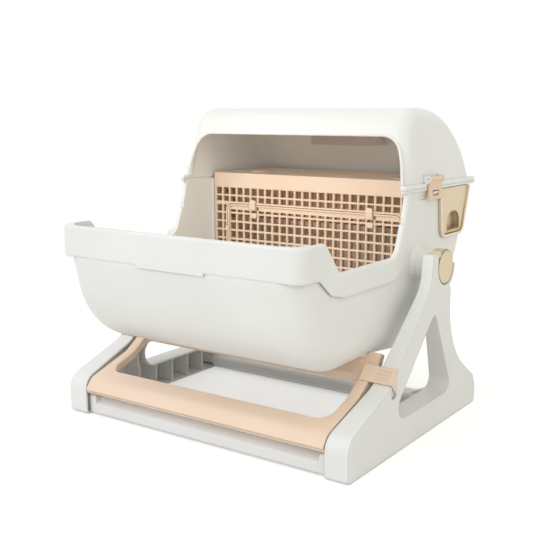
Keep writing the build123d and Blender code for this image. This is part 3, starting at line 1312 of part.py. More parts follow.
# ---------------------------------------------------------------------------
# Export
# ---------------------------------------------------------------------------
def main():
    os.makedirs("parts", exist_ok=True)
    right_frame = side_frame()
    right_trunnion = trunnion()
    right_latch = latch()
    parts = {
        "side_frame_right": right_frame,
        "side_frame_left": other_side(right_frame),
        "front_crossbar": front_crossbar(),
        "rear_crossbar": rear_crossbar(),
        "support_cradle": support_cradle(),
        "foot_pads": foot_pads(),
        "basin": basin(),
        "hood": hood(),
        "sieve_partition": sieve_partition(),
        "sieve_flap": sieve_flap(),
        "flap_hinge_pins": flap_hinge_pins(),
        "drawer_rail_front": drawer_rail_front(),
        "drawer_rail_rear": drawer_rail_rear(),
        "drawer_tray": drawer_tray(),
        "drawer_front": drawer_front(),
        "trunnion_right": right_trunnion,
        "trunnion_left": other_side(right_trunnion),
        "trunnion_screws": trunnion_screws(),
        "latch_right": right_latch,
        "latch_left": other_side(right_latch),
        "latch_pins": latch_pins(),
    }
    for name, shape in parts.items():
        export_step(shape, "parts/" + name + ".step")


main()
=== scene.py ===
import logging
import math
from dataclasses import dataclass
from enum import Enum
from typing import Any, ClassVar, Iterable, Sequence

import bmesh
import bpy
from mathutils import Matrix, Vector


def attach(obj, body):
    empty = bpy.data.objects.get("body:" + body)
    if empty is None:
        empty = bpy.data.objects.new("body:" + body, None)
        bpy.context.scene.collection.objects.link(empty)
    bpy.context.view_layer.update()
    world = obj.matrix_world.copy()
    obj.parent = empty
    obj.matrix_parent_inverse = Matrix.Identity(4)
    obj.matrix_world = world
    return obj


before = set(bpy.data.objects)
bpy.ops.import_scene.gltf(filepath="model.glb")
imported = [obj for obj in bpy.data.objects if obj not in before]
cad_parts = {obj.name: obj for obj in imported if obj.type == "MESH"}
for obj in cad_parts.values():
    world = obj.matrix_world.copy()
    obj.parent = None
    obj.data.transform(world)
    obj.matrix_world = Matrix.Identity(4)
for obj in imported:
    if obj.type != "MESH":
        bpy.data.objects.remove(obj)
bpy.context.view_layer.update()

log = logging.getLogger("litter_tub")

MM = 0.001
SIDES = ((-1.0, "left"), (1.0, "right"))
Point = tuple[float, float, float]
Corner = tuple[float, float, float]
Span = tuple[float, float]
Paths = Sequence[Sequence[Point]]
Piece = bpy.types.Object
Material = bpy.types.Material
Tree = bpy.types.NodeTree
Node = bpy.types.Node
Socket = bpy.types.NodeSocket


# ---- Nodes ----
def linear(hex_colour: str) -> tuple[float, float, float, float]:
    """Turns an sRGB hex colour into linear light.

    Args:
        hex_colour: a colour such as "#F4DBC6".

    Returns:
        Red, green, blue and an alpha of 1, as a shader socket takes them.
    """
    parts = [int(hex_colour[i:i + 2], 16) / 255.0 for i in (1, 3, 5)]
    light = [p / 12.92 if p <= 0.04045 else ((p + 0.055) / 1.055) ** 2.4 for p in parts]
    return (light[0], light[1], light[2], 1.0)


def add_node(tree: Tree, kind: str, values: dict[Any, Any] | None = None) -> Node:
    """Adds one node with its settings and links.

    Args:
        tree: the node tree of a material or of a shape.
        kind: the node's type name.
        values: plain values and sockets, by property name or by input name or number.

    Returns:
        The new node.
    """
    node = tree.nodes.new(kind)
    for name, value in (values or {}).items():
        if isinstance(value, Socket):
            tree.links.new(value, node.inputs[name])
        elif isinstance(name, str) and hasattr(node, name):
            setattr(node, name, value)
        else:
            node.inputs[name].default_value = value
    return node


def mapped(tree: Tree, value: Socket, source: Span, target: Span = (0.0, 1.0)) -> Socket:
    """Maps a value from one range onto another and holds it inside.

    Args:
        tree: the node tree.
        value: the value.
        source: the range that it comes from.
        target: the range that it goes to.

    Returns:
        The mapped value.
    """
    node = add_node(tree, "ShaderNodeMapRange",
                    {"From Min": source[0], "From Max": source[1], "To Min": target[0],
                     "To Max": target[1], "Value": value})
    return node.outputs["Result"]


def combined(tree: Tree, operation: str, first: Socket, second: Socket | float) -> Socket:
    """Combines two values.

    Args:
        tree: the node tree.
        operation: what is done with them, such as "MULTIPLY".
        first: the first value.
        second: the second value, live or plain.

    Returns:
        The result.
    """
    node = add_node(tree, "ShaderNodeMath", {"operation": operation, 0: first, 1: second})
    return node.outputs["Value"]


def mixed(tree: Tree, amount: Socket, first: Socket | str, second: Socket | str) -> Socket:
    """Mixes two colours.

    Args:
        tree: the node tree.
        amount: how much of the second colour shows.
        first: the first colour, live or as a hex colour.
        second: the second colour, live or as a hex colour.

    Returns:
        The mixed colour.
    """
    pair = [linear(colour) if isinstance(colour, str) else colour for colour in (first, second)]
    node = add_node(tree, "ShaderNodeMix", {"data_type": "RGBA", 0: amount, 6: pair[0], 7: pair[1]})
    return node.outputs[2]


def noise(tree: Tree, place: Socket, size: float, detail: float, roughness: float = 0.5) -> Socket:
    """Spreads noise over a piece.

    Args:
        tree: the node tree.
        place: the place on the piece.
        size: the size of its spots in mm.
        detail: how many finer layers it has.
        roughness: how strong the finer layers are.

    Returns:
        A value round 0.5.
    """
    node = add_node(tree, "ShaderNodeTexNoise",
                    {"Scale": 1.0 / (size * MM), "Detail": detail, "Roughness": roughness,
                     "Vector": place})
    return node.outputs["Fac"]


def new_material(name: str) -> tuple[Material, Tree, Socket]:
    """Makes a material without nodes.

    Args:
        name: the name of the real material.

    Returns:
        The material, its node tree and the place on the piece.
    """
    made = bpy.data.materials.new(name)
    made.use_nodes = True
    made.node_tree.nodes.clear()
    place = add_node(made.node_tree, "ShaderNodeTexCoord").outputs["Object"]
    return made, made.node_tree, place


def seen_plainly(tree: Tree) -> Socket:
    """Tells rays that look at a surface from rays that carry light.

    Args:
        tree: the node tree.

    Returns:
        1 where a surface is looked at, 0 where it only gives light.
    """
    path = add_node(tree, "ShaderNodeLightPath").outputs
    looked = combined(tree, "MAXIMUM", path["Is Camera Ray"], path["Is Glossy Ray"])
    return combined(tree, "MAXIMUM", looked, path["Is Transmission Ray"])


# ---- Finishes ----
class Grain(Enum):
    """Surfaces that a mould leaves: the pitch of its grain, in mm, and its depth."""

    SATIN = (1.6, 0.05)
    FINE_MATT = (1.1, 0.12)


@dataclass(frozen=True)
class PaintedGapShade:
    """Painted shade in the narrow running gap round a turned cap, which lies across X."""

    y: float
    z: float
    radius: float
    core: float = 0.7
    reach: float = 1.3
    depth: float = 0.85
    shade_tint: str = "#6E5A3A"

    def shade(self, tree: Tree, place: Socket, body: Socket) -> Socket:
        """Paints shade into the gap.

        Args:
            tree: the material's nodes.
            place: the place on the piece.
            body: the colour so far.

        Returns:
            The colour with painted shade in the gap.
        """
        across = add_node(tree, "ShaderNodeVectorMath",
                          {"operation": "MULTIPLY", 1: (0.0, 1.0, 1.0), 0: place})
        away = add_node(tree, "ShaderNodeVectorMath",
                        {"operation": "DISTANCE", 1: (0.0, self.y * MM, self.z * MM),
                         0: across.outputs["Vector"]})
        off = combined(tree, "SUBTRACT", away.outputs["Value"], self.radius * MM)
        width = add_node(tree, "ShaderNodeMath", {"operation": "ABSOLUTE", 0: off})
        line = mapped(tree, width.outputs["Value"], (self.core * MM, self.reach * MM),
                      (self.depth, 0.0))
        return mixed(tree, line, body, self.shade_tint)


@dataclass(frozen=True)
class PaintedGripShade:
    """Painted shade on the inner side of the hood's grip, where the moulding is thick."""

    half_width: float
    front_y: float
    foot_z: float
    height: float = 31.0
    depth: float = 0.8
    shade_tint: str = "#A88F80"

    def shade(self, tree: Tree, place: Socket, body: Socket) -> Socket:
        """Paints shade over the bulge inside a soft-edged box.

        Args:
            tree: the material's nodes.
            place: the place on the piece.
            body: the colour so far.

        Returns:
            The colour with painted shade on the bulge.
        """
        split = add_node(tree, "ShaderNodeSeparateXYZ", {0: place}).outputs
        aside = add_node(tree, "ShaderNodeMath", {"operation": "ABSOLUTE", 0: split["X"]})
        y, z = self.front_y, self.foot_z
        edges = ((aside.outputs["Value"], self.half_width, self.half_width - 1.0),
                 (split["Y"], y + 1.6, y + 0.8),
                 (split["Y"], y - 30.0, y - 20.0),
                 (split["Z"], z - 1.0, z),
                 (split["Z"], z + self.height, z + self.height - 4.0))
        amount = None
        for value, outside, inside in edges:
            fade = mapped(tree, value, (outside * MM, inside * MM))
            amount = fade if amount is None else combined(tree, "MULTIPLY", amount, fade)
        return mixed(tree, combined(tree, "MULTIPLY", amount, self.depth), body, self.shade_tint)


@dataclass(frozen=True)
class Polypropylene:
    """Injection-moulded polypropylene: waxy, softly glossy, with rounded edges.

    The mould's fine grain breaks up the highlight, colour drifts a little as
    the melt flowed, rubbed edges and corners turn a touch paler,
    and painted shade darkens the creases.
    """

    name: str
    colour: str
    drift_colour: str
    edge_colour: str
    roughness: float = 0.42
    grain: Grain = Grain.SATIN
    edge_mm: float = 1.1
    crease_shade_colour: str = "#77726A"
    crease_shade_mm: float = 4.5
    crease_shade_depth: float = 0.6
    detail: PaintedGapShade | PaintedGripShade | None = None
    drift_mm: float = 140.0
    handling_mm: float = 45.0

    def colouring(self, tree: Tree, place: Socket, rounded: Socket) -> Socket:
        """Builds the colour: the drifting melt, paler edges and painted shade in the creases.

        Args:
            tree: the material's nodes.
            place: the place on the piece.
            rounded: the surface's direction with its edges rounded.

        Returns:
            The colour.
        """
        drift = mapped(tree, noise(tree, place, self.drift_mm, 2.0), (0.35, 0.65))
        body = mixed(tree, drift, self.colour, self.drift_colour)
        flat = add_node(tree, "ShaderNodeNewGeometry").outputs["Normal"]
        turned = add_node(tree, "ShaderNodeVectorMath",
                          {"operation": "DOT_PRODUCT", 0: rounded, 1: flat})
        rubbed = mapped(tree, turned.outputs["Value"], (0.99, 0.85), (0.0, 0.6))
        body = mixed(tree, rubbed, body, self.edge_colour)
        # Painted shade darkens narrow gaps, recesses and seams.
        open_sky = add_node(tree, "ShaderNodeAmbientOcclusion",
                            {"samples": 6, "Distance": self.crease_shade_mm * MM, "Normal": rounded})
        crease = mapped(tree, open_sky.outputs["AO"], (0.15, 0.75), (self.crease_shade_depth, 0.0))
        body = mixed(tree, crease, body, self.crease_shade_colour)
        return self.detail.shade(tree, place, body) if self.detail else body

    def material(self) -> Material:
        """Builds the material.

        Returns:
            A material whose patterns are worked out from sizes in mm.
        """
        made, tree, place = new_material(self.name)
        rounded = add_node(tree, "ShaderNodeBevel",
                           {"samples": 4, "Radius": self.edge_mm * MM}).outputs["Normal"]
        pitch, depth = self.grain.value
        bump = add_node(tree, "ShaderNodeBump",
                        {"Strength": depth, "Distance": 0.15 * MM,
                         "Height": noise(tree, place, pitch, 3.0, 0.55), "Normal": rounded})
        gloss = mapped(tree, noise(tree, place, self.handling_mm, 4.0), (0.3, 0.7),
                       (self.roughness - 0.05, self.roughness + 0.06))
        shader = add_node(tree, "ShaderNodeBsdfPrincipled",
                          {"IOR": 1.49, "Base Color": self.colouring(tree, place, rounded),
                           "Roughness": gloss, "Normal": bump.outputs["Normal"]})
        add_node(tree, "ShaderNodeOutputMaterial", {"Surface": shader.outputs["BSDF"]})
        return made


@dataclass(frozen=True)
class GripRubber:
    """Grey thermoplastic rubber: dull, slightly dusty, with a fine sparked grain."""

    name: str = "grey_thermoplastic_rubber"
    colour: str = "#8C8B88"
    dust_colour: str = "#A5A39E"
    dust_mm: float = 9.0
    grit_mm: float = 0.9

    def material(self) -> Material:
        """Builds the material of the pads under the feet."""
        made, tree, place = new_material(self.name)
        dust = mapped(tree, noise(tree, place, self.dust_mm, 5.0), (0.4, 0.7))
        bump = add_node(tree, "ShaderNodeBump",
                        {"Strength": 0.5, "Distance": 0.2 * MM,
                         "Height": noise(tree, place, self.grit_mm, 2.0)})
        shader = add_node(tree, "ShaderNodeBsdfPrincipled",
                          {"Roughness": 0.85, "IOR": 1.52,
                           "Base Color": mixed(tree, dust, self.colour, self.dust_colour),
                           "Normal": bump.outputs["Normal"]})
        add_node(tree, "ShaderNodeOutputMaterial", {"Surface": shader.outputs["BSDF"]})
        return made


@dataclass(frozen=True)
class PlatedSteel:
    """Zinc-plated or plain drawn steel: bright, with fine turning marks."""

    name: str
    colour: str
    roughness: float
    streak: Point = (2.0, 60.0, 60.0)
    streak_mm: float = 25.0

    def material(self) -> Material:
        """Builds the material of the screws and pins."""
        made, tree, place = new_material(self.name)
        drawn = add_node(tree, "ShaderNodeMapping", {"Scale": self.streak, "Vector": place})
        marks = noise(tree, drawn.outputs["Vector"], self.streak_mm, 3.0)
        gloss = mapped(tree, marks, (0.0, 1.0), (self.roughness - 0.08, self.roughness + 0.1))
        bump = add_node(tree, "ShaderNodeBump",
                        {"Strength": 0.2, "Distance": 0.05 * MM, "Height": marks})
        shader = add_node(tree, "ShaderNodeBsdfPrincipled",
                          {"Base Color": linear(self.colour), "Metallic": 1.0, "Roughness": gloss,
                           "Normal": bump.outputs["Normal"]})
        add_node(tree, "ShaderNodeOutputMaterial", {"Surface": shader.outputs["BSDF"]})
        return made


FINISHES = {
    # A matt mould and broad rounded edges make the stand look softer than the drum.
    "white_frame": Polypropylene(
        "white_matt_polypropylene", "#F1F1EF", "#EDEDEA", "#F8F8F6", 0.46, Grain.FINE_MATT, 3.0),
    # A satin mould gives the tub long soft highlights.
    "white_basin": Polypropylene(
        "white_satin_polypropylene", "#F3F3F0", "#EFEFEC", "#F9F9F7", 0.38, Grain.SATIN, 1.2),
    # The hood is the glossiest white; painted shade makes the inner side of its thick grip browner.
    "white_hood": Polypropylene(
        "white_gloss_polypropylene", "#F4F4F1", "#F0F0ED", "#FAFAF8", 0.33, Grain.SATIN, 1.0,
        detail=PaintedGripShade(67.5, 196.0, 420.5)),
    # The rails are a shade greyer, so they read as separate parts.
    "white_rail": Polypropylene(
        "white_rail_polypropylene", "#E9E7E1", "#E3E0DA", "#F2F1EE", 0.42, Grain.FINE_MATT, 0.6),
    # The coloured parts are satin, with warm brown painted shade in their creases.
    "peach_cradle": Polypropylene(
        "peach_satin_polypropylene", "#F6DDC7", "#F3D8C0", "#FBEADC", 0.36, Grain.SATIN, 1.0,
        "#9A7C62"),
    "peach_grid": Polypropylene(
        "peach_grid_polypropylene", "#FCE3CB", "#F8DBC0", "#FFF0E0", 0.36, Grain.SATIN, 0.7,
        "#8E6A4E"),
    # The bars' deep flanks get little light, so they show darker and fully matt.
    "peach_web": Polypropylene(
        "peach_web_polypropylene", "#DDB08A", "#D3A47C", "#E8C3A0", 0.5, Grain.FINE_MATT, 0.4,
        "#6E4A30", 8.0, 0.85),
    "peach_flap": Polypropylene(
        "peach_flap_polypropylene", "#FCE3CA", "#F8DBBF", "#FFF0E0", 0.36, Grain.SATIN, 0.7,
        "#8E6A4E"),
    # The drawer is sandier; wide painted shade in its creases deepens its finger recess.
    "peach_drawer": Polypropylene(
        "sand_drawer_polypropylene", "#F1DDBD", "#EAD3AC", "#FCF3DF", 0.34, Grain.SATIN, 0.9,
        "#7A5C30", 16.0, 0.9),
    # The narrow step inside the drawer's border lies in shade.
    "sand_step": Polypropylene(
        "sand_drawer_step_in_shade", "#A8844F", "#9C7945", "#B8935C", 0.5, Grain.FINE_MATT, 0.3,
        "#5E4520", 6.0, 0.85),
    # The drawer's border bead is painted bright cream, a painted highlight on its raised rim.
    "sand_edge": Polypropylene(
        "sand_drawer_painted_highlight_edge", "#FFF5E0", "#FEF0D4", "#FFFAEC", 0.34, Grain.SATIN, 0.9,
        "#B9965E", crease_shade_depth=0.3),
    # The trunnions are the glossiest parts, with painted shade in the gap round the cap.
    "peach_trunnion": Polypropylene(
        "sand_acetal", "#F2DFB9", "#EBD6AC", "#FCF3DE", 0.30, Grain.SATIN, 1.0,
        "#6E5A3A", crease_shade_depth=0.8, detail=PaintedGapShade(64.0, 248.0, 25.9)),
    "peach_latch": Polypropylene(
        "peach_latch_polypropylene", "#F3D6BC", "#EFCFB2", "#FBE6D3", 0.34, Grain.SATIN, 0.8,
        "#7C5F49", crease_shade_depth=0.8),
    "grey_rubber": GripRubber(),
    "zinc_screw": PlatedSteel("bright_zinc_plated_steel", "#C9CBCD", 0.32),
    "steel_pin": PlatedSteel("drawn_stainless_steel", "#C4C3C0", 0.28, (60.0, 2.0, 60.0)),
}


# ---- Outlines and paths, in mm ----
def rounded_path(corners: Sequence[Corner], closed: bool, step: float = 9.0) -> list[Span]:
    """Rounds the corners of a flat path.

    Args:
        corners: two coordinates and a radius each, in mm.
        closed: whether the path returns to its start.
        step: the turn between two points of an arc, in degrees.

    Returns:
        The points of the path, in mm.
    """
    points: list[Span] = []
    count = len(corners)
    for index, (u, v, radius) in enumerate(corners):
        here = Vector((u, v))
        if (not closed and index in (0, count - 1)) or radius <= 0.0:
            points.append((u, v))
            continue
        before = Vector(corners[index - 1][:2]) - here
        after = Vector(corners[(index + 1) % count][:2]) - here
        before.normalize()
        after.normalize()
        half = math.acos(max(-1.0, min(1.0, before.dot(after)))) / 2.0
        back = radius / math.tan(half)
        centre = here + (before + after).normalized() * (radius / math.sin(half))
        start = here + before * back - centre
        end = here + after * back - centre
        turn = math.atan2(start.x * end.y - start.y * end.x, start.dot(end))
        pieces = max(2, int(abs(math.degrees(turn)) / step) + 1)
        for part in range(pieces + 1):
            angle = turn * part / pieces
            cos, sin = math.cos(angle), math.sin(angle)
            points.append((centre.x + start.x * cos - start.y * sin,
                           centre.y + start.x * sin + start.y * cos))
    return points


def rounded_frame(half: float, foot: float, top: float, turn: float) -> list[Span]:
    """Returns the rounded outline of an upright frame, in X and Z.

    Args:
        half: half its width.
        foot: the height of its foot.
        top: the height of its top.
        turn: the radius of its corners.

    Returns:
        The points of the outline, in mm.
    """
    return rounded_path([(-half, foot, turn), (half, foot, turn),
                         (half, top, turn), (-half, top, turn)], True)


def arc(x: float, centre: Span, radius: float, degrees: Iterable[float]) -> list[Point]:
    """Returns points of an arc across X.

    Args:
        x: where it stands.
        centre: its centre in Y and Z.
        radius: its radius.
        degrees: the turn of each point.

    Returns:
        The points, in mm.
    """
    return [(x, centre[0] + radius * math.cos(math.radians(a)),
             centre[1] + radius * math.sin(math.radians(a))) for a in degrees]


def placed(name: str, mesh: bpy.types.Mesh) -> Piece:
    """Puts a mesh into the scene as an object at the origin."""
    made = bpy.data.objects.new(name, mesh)
    bpy.context.scene.collection.objects.link(made)
    return made


def wire(name: str, paths: Paths, closed: bool) -> Piece:
    """Makes a mesh of edges only, for a shape tree to work on.

    Args:
        name: the piece's name.
        paths: points of each path, in mm, in the shared frame.
        closed: whether each path returns to its start.

    Returns:
        An object at the origin with its place in its mesh, in metres.
    """
    points: list[Point] = []
    edges: list[tuple[int, int]] = []
    for path in paths:
        first = len(points)
        points.extend((x * MM, y * MM, z * MM) for x, y, z in path)
        edges.extend((i, i + 1) for i in range(first, len(points) - 1))
        if closed:
            edges.append((len(points) - 1, first))
    mesh = bpy.data.meshes.new(name)
    mesh.from_pydata(points, edges, [])
    return placed(name, mesh)


# ---- Geometry Nodes ----
class ShapeTree:
    """A Geometry Nodes tree with named inputs that ends in a plain mesh."""

    def __init__(self, name: str, sizes: dict[str, float | int]) -> None:
        """Opens a tree.

        Args:
            name: the tree's name.
            sizes: its inputs by name; a whole number makes a whole-number input.
        """
        self.tree = bpy.data.node_groups.new(name, "GeometryNodeTree")
        self.sizes = sizes
        face = self.tree.interface
        face.new_socket("Geometry", in_out="INPUT", socket_type="NodeSocketGeometry")
        face.new_socket("Geometry", in_out="OUTPUT", socket_type="NodeSocketGeometry")
        for label, value in sizes.items():
            kind = "NodeSocketInt" if isinstance(value, int) else "NodeSocketFloat"
            face.new_socket(label, in_out="INPUT", socket_type=kind)
        self.inputs = self.tree.nodes.new("NodeGroupInput").outputs

    def add(self, kind: str, values: dict[Any, Any] | None = None) -> Node:
        """Adds a node to this tree, as add_node does."""
        return add_node(self.tree, kind, values)

    def finish(self, shape: Socket, smooth: bool, material: Material, base: Piece) -> Piece:
        """Ends in Realize Instances and Set Material, and keeps the result as a plain mesh.

        Args:
            shape: the finished geometry.
            smooth: whether its faces are shaded smooth.
            material: the finish of every face.
            base: the object that carries the points of the shape.

        Returns:
            The same object, with the finished mesh and no modifier.
        """
        real = self.add("GeometryNodeRealizeInstances", {"Geometry": shape})
        shaded = self.add("GeometryNodeSetShadeSmooth",
                          {"Shade Smooth": smooth, "Geometry": real.outputs["Geometry"]})
        dressed = self.add("GeometryNodeSetMaterial",
                           {"Material": material, "Geometry": shaded.outputs["Geometry"]})
        end = self.tree.nodes.new("NodeGroupOutput")
        self.tree.links.new(dressed.outputs["Geometry"], end.inputs["Geometry"])
        modifier = base.modifiers.new("shape", "NODES")
        modifier.node_group = self.tree
        for item in self.tree.interface.items_tree:
            if item.item_type == "SOCKET" and item.in_out == "INPUT" and item.name in self.sizes:
                modifier[item.identifier] = self.sizes[item.name]
        base.update_tag()
        graph = bpy.context.evaluated_depsgraph_get()
        mesh = bpy.data.meshes.new_from_object(base.evaluated_get(graph), depsgraph=graph)
        mesh.name = base.name
        base.modifiers.clear()
        old = base.data
        base.data = mesh
        bpy.data.meshes.remove(old)
        return base


def swept_bead(name: str, paths: Paths, closed: bool, radius: float, material: Material) -> Piece:
    """Sweeps a round bead along paths.

    Args:
        name: the piece's name.
        paths: points in mm.
        closed: whether each path returns to its start.
        radius: the bead's radius in mm.
        material: its finish.

    Returns:
        A plain mesh object.
    """
    tree = ShapeTree(name + "_tree", {"Radius": radius * MM, "Sides": 10})
    line = tree.add("GeometryNodeMeshToCurve", {"Mesh": tree.inputs["Geometry"]})
    ring = tree.add("GeometryNodeCurvePrimitiveCircle",
                    {"mode": "RADIUS", "Resolution": tree.inputs["Sides"],
                     "Radius": tree.inputs["Radius"]})
    swept = tree.add("GeometryNodeCurveToMesh",
                     {"Fill Caps": True, "Curve": line.outputs["Curve"],
                      "Profile Curve": ring.outputs["Curve"]})
    return tree.finish(swept.outputs["Mesh"], True, material, wire(name, paths, closed))


def bar_lattice(name: str, bars: Sequence[tuple[Point, Point]], material: Material) -> Piece:
    """Stands one straight bar on each point, each with its own size.

    Args:
        name: the piece's name.
        bars: the centre and the three side lengths of each bar, in mm.
        material: its finish.

    Returns:
        A plain mesh object.
    """
    base = wire(name, [[centre] for centre, _ in bars], False)
    sizes = base.data.attributes.new("bar_size", "FLOAT_VECTOR", "POINT")
    for item, (_, size) in zip(sizes.data, bars):
        item.vector = Vector(size) * MM
    tree = ShapeTree(name + "_tree", {"Unit": 1.0})
    block = tree.add("GeometryNodeMeshCube", {"Size": (1.0, 1.0, 1.0)})
    size = tree.add("GeometryNodeInputNamedAttribute",
                    {"data_type": "FLOAT_VECTOR", "Name": "bar_size"})
    scaled = tree.add("ShaderNodeVectorMath",
                      {"operation": "SCALE", 0: size.outputs["Attribute"],
                       "Scale": tree.inputs["Unit"]})
    stood = tree.add("GeometryNodeInstanceOnPoints",
                     {"Points": tree.inputs["Geometry"], "Instance": block.outputs["Mesh"],
                      "Scale": scaled.outputs["Vector"]})
    return tree.finish(stood.outputs["Instances"], False, material, base)


# ---- Moulded solids ----
def moulded(name: str, shape: bmesh.types.BMesh, sharp: float, edge: float,
            material: Material) -> Piece:
    """Rounds the sharp edges of a closed shape and makes a smooth piece of it.

    Args:
        name: the piece's name.
        shape: the closed shape, which is freed.
        sharp: the least turn of an edge that is rounded, in degrees.
        edge: the radius of the rounding in mm.
        material: its finish.

    Returns:
        A closed mesh object.
    """
    bmesh.ops.recalc_face_normals(shape, faces=shape.faces)
    rim = [e for e in shape.edges
           if len(e.link_faces) == 2 and e.calc_face_angle(0.0) > math.radians(sharp)]
    bmesh.ops.bevel(shape, geom=rim, offset=edge * MM, offset_type="OFFSET", segments=3,
                    profile=0.5, affect="EDGES", clamp_overlap=True)
    for face in shape.faces:
        face.smooth = True
    mesh = bpy.data.meshes.new(name)
    shape.to_mesh(mesh)
    shape.free()
    mesh.materials.append(material)
    return placed(name, mesh)


def moulded_lug(name: str, outline: Sequence[Span], depth: Span, edge: float,
                material: Material) -> Piece:
    """Pulls a flat outline along Y into a small moulded lug with rounded edges.

    Args:
        name: the piece's name.
        outline: points in X and Z, in mm.
        depth: where it starts and ends along Y, in mm.
        edge: the radius of its edges in mm.
        material: its finish.

    Returns:
        A closed mesh object.
    """
    shape = bmesh.new()
    front, rear = [[shape.verts.new(Vector((x, y, z)) * MM) for x, z in outline] for y in depth]
    shape.faces.new(front)
    shape.faces.new(rear[::-1])
    for index in range(len(outline)):
        after = (index + 1) % len(outline)
        shape.faces.new((front[after], front[index], rear[index], rear[after]))
    return moulded(name, shape, 50.0, edge, material)


# ---- Sub-assemblies ----
def on_body(piece: Piece, body: str) -> Piece:
    """Lets a new piece move with a body."""
    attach(piece, body)
    return piece


@dataclass
class SubAssembly:
    """CAD nodes that belong together, and the trim that is moulded onto them."""

    NODES: ClassVar[dict[str, str]] = {}

    materials: dict[str, Material]
    pivot: Span = (64.0, 248.0)
    grid_pitch: float = 15.5
    grid_top: float = 347.5
    crown_radius: float = 1.5
    crown_y: float = 87.6
    web_y: float = 89.6
    web_depth: float = 7.0
    web_width: float = 2.4
    hinge_x: float = 116.0

    def dress(self) -> None:
        """Gives every CAD node the finish of its slot."""
        for node, slot in self.NODES.items():
            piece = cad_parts[node]
            piece.data.materials.clear()
            piece.data.materials.append(self.materials[slot])
            log.info("%s: %s dressed", type(self).__name__, node)

    def bead(self, name: str, paths: Paths, closed: bool, radius: float,
             slot: str, body: str, finish: str = "") -> Piece:
        """Sweeps a bead and fixes it to a body.

        Args:
            name: the piece's name.
            paths: points in mm.
            closed: whether each path returns to its start.
            radius: the bead's radius in mm.
            slot: the record's material slot.
            body: the body that it moves with.
            finish: its finish, where that isn't the slot's own.

        Returns:
            The bead.
        """
        material = self.materials[finish or slot]
        return on_body(swept_bead(name, paths, closed, radius, material), body)

    def grid_webs(self, name: str, paths: Paths, slot: str, body: str) -> Piece:
        """Makes the bars of a grid as deep as they are moulded.

        Args:
            name: the piece's name.
            paths: the two ends of each bar, in mm.
            slot: not used.
            body: the body that it moves with.

        Returns:
            The webs behind the bars.
        """
        bars = [(((x0 + x1) / 2.0, self.web_y + self.web_depth / 2.0, (z0 + z1) / 2.0),
                 (abs(x1 - x0) + self.web_width, self.web_depth, abs(z1 - z0) + self.web_width))
                for (x0, _, z0), (x1, _, z1) in paths]
        return on_body(bar_lattice(name, bars, self.materials["peach_web"]), body)


@dataclass
class Stand(SubAssembly):
    """The A-frames, the bars between them, the support cradle and the pads."""

    NODES: ClassVar[dict[str, str]] = {
        "side_frame_right": "white_frame", "side_frame_left": "white_frame",
        "front_crossbar": "white_frame", "rear_crossbar": "white_frame",
        "support_cradle": "peach_cradle", "foot_pads": "grey_rubber"}
    SKIN_LINE: ClassVar[tuple[Corner, ...]] = (
        (-223.0, 39.0, 0.0), (-210.0, 56.5, 18.0), (-130.0, 82.5, 60.0),
        (-76.0, 119.7, 24.0), (-67.0, 136.7, 0.0))

    skin_half: float = 222.4
    skin_inner: float = 205.0
    skin_corner: float = 24.0
    skin_bar_y: float = -188.0
    skin_rear_y: float = -98.0
    skin_raise: float = 4.6
    skin_sink: float = 0.4
    skin_edge: float = 1.6
    lip_radius: float = 29.4
    lip_x: float = 258.8
    lip_bead: float = 1.2
    lip_from: float = -200.0
    lip_to: float = 3.0
    lip_steps: int = 30

    def build(self) -> list[Piece]:
        """Dresses the stand and adds its trim."""
        self.dress()
        return [self.slot_lips(), self.cradle_skin()]

    def raised_line(self) -> list[Vector]:
        """Lifts the cradle's line to the top of its skin.

        Returns:
            Points in Y and Z about 2 mm apart, up to the clips, in mm.
        """
        line = rounded_path(self.SKIN_LINE, False, 3.0)
        dense: list[Vector] = []
        for a, b in zip(line, line[1:]):
            count = max(1, int((Vector(b) - Vector(a)).length / 2.0))
            dense.extend(Vector(a).lerp(Vector(b), k / count) for k in range(count))
        raised = []
        for before, here, after in zip(dense, dense[1:], dense[2:]):
            along = (after - before).normalized()
            raised.append(here + Vector((-along.y, along.x)) * self.skin_raise)
        return [spot for spot in raised if spot.x < self.skin_rear_y]

    def opening_half(self, y: float) -> float:
        """Returns half the width of the cradle's opening at a place along Y, in mm."""
        into = min(max(y - self.skin_bar_y, 0.0), self.skin_corner)
        return self.skin_inner - self.skin_corner + math.sqrt(
            max(0.0, self.skin_corner ** 2 - (self.skin_corner - into) ** 2))

    def cradle_skin(self) -> Piece:
        """Makes the cradle's thick padded top, which lies almost flush with the legs.

        Returns:
            The skin over the front bar and both arms, up to the clips.
        """
        raised = self.raised_line()
        skin = bmesh.new()
        rows = []
        for y, z in raised:
            hole = self.opening_half(y)
            rows.append([skin.verts.new(Vector((x, y, z)) * MM)
                         for x in (-self.skin_half, -hole, hole, self.skin_half)])
        for (y, _), low, high in zip(raised, rows, rows[1:]):
            for column in (0, 1, 2):
                if column != 1 or y < self.skin_bar_y:
                    skin.faces.new((low[column], low[column + 1], high[column + 1], high[column]))
        bmesh.ops.recalc_face_normals(skin, faces=skin.faces)
        if sum(face.normal.z for face in skin.faces) < 0.0:
            bmesh.ops.reverse_faces(skin, faces=skin.faces)
        bmesh.ops.solidify(skin, geom=skin.faces[:] + skin.edges[:] + skin.verts[:],
                           thickness=(self.skin_raise + self.skin_sink) * MM)
        piece = moulded("cradle_skin", skin, 55.0, self.skin_edge, self.materials["peach_cradle"])
        return on_body(piece, "stand")

    def slot_lips(self) -> Piece:
        """Sweeps the raised lip round each trunnion slot, on the outer face of the head."""
        turns = [self.lip_from + (self.lip_to - self.lip_from) * step / self.lip_steps
                 for step in range(self.lip_steps + 1)]
        paths = [arc(side * self.lip_x, self.pivot, self.lip_radius, turns) for side, _ in SIDES]
        return self.bead("slot_lips", paths, False, self.lip_bead, "white_frame", "stand")


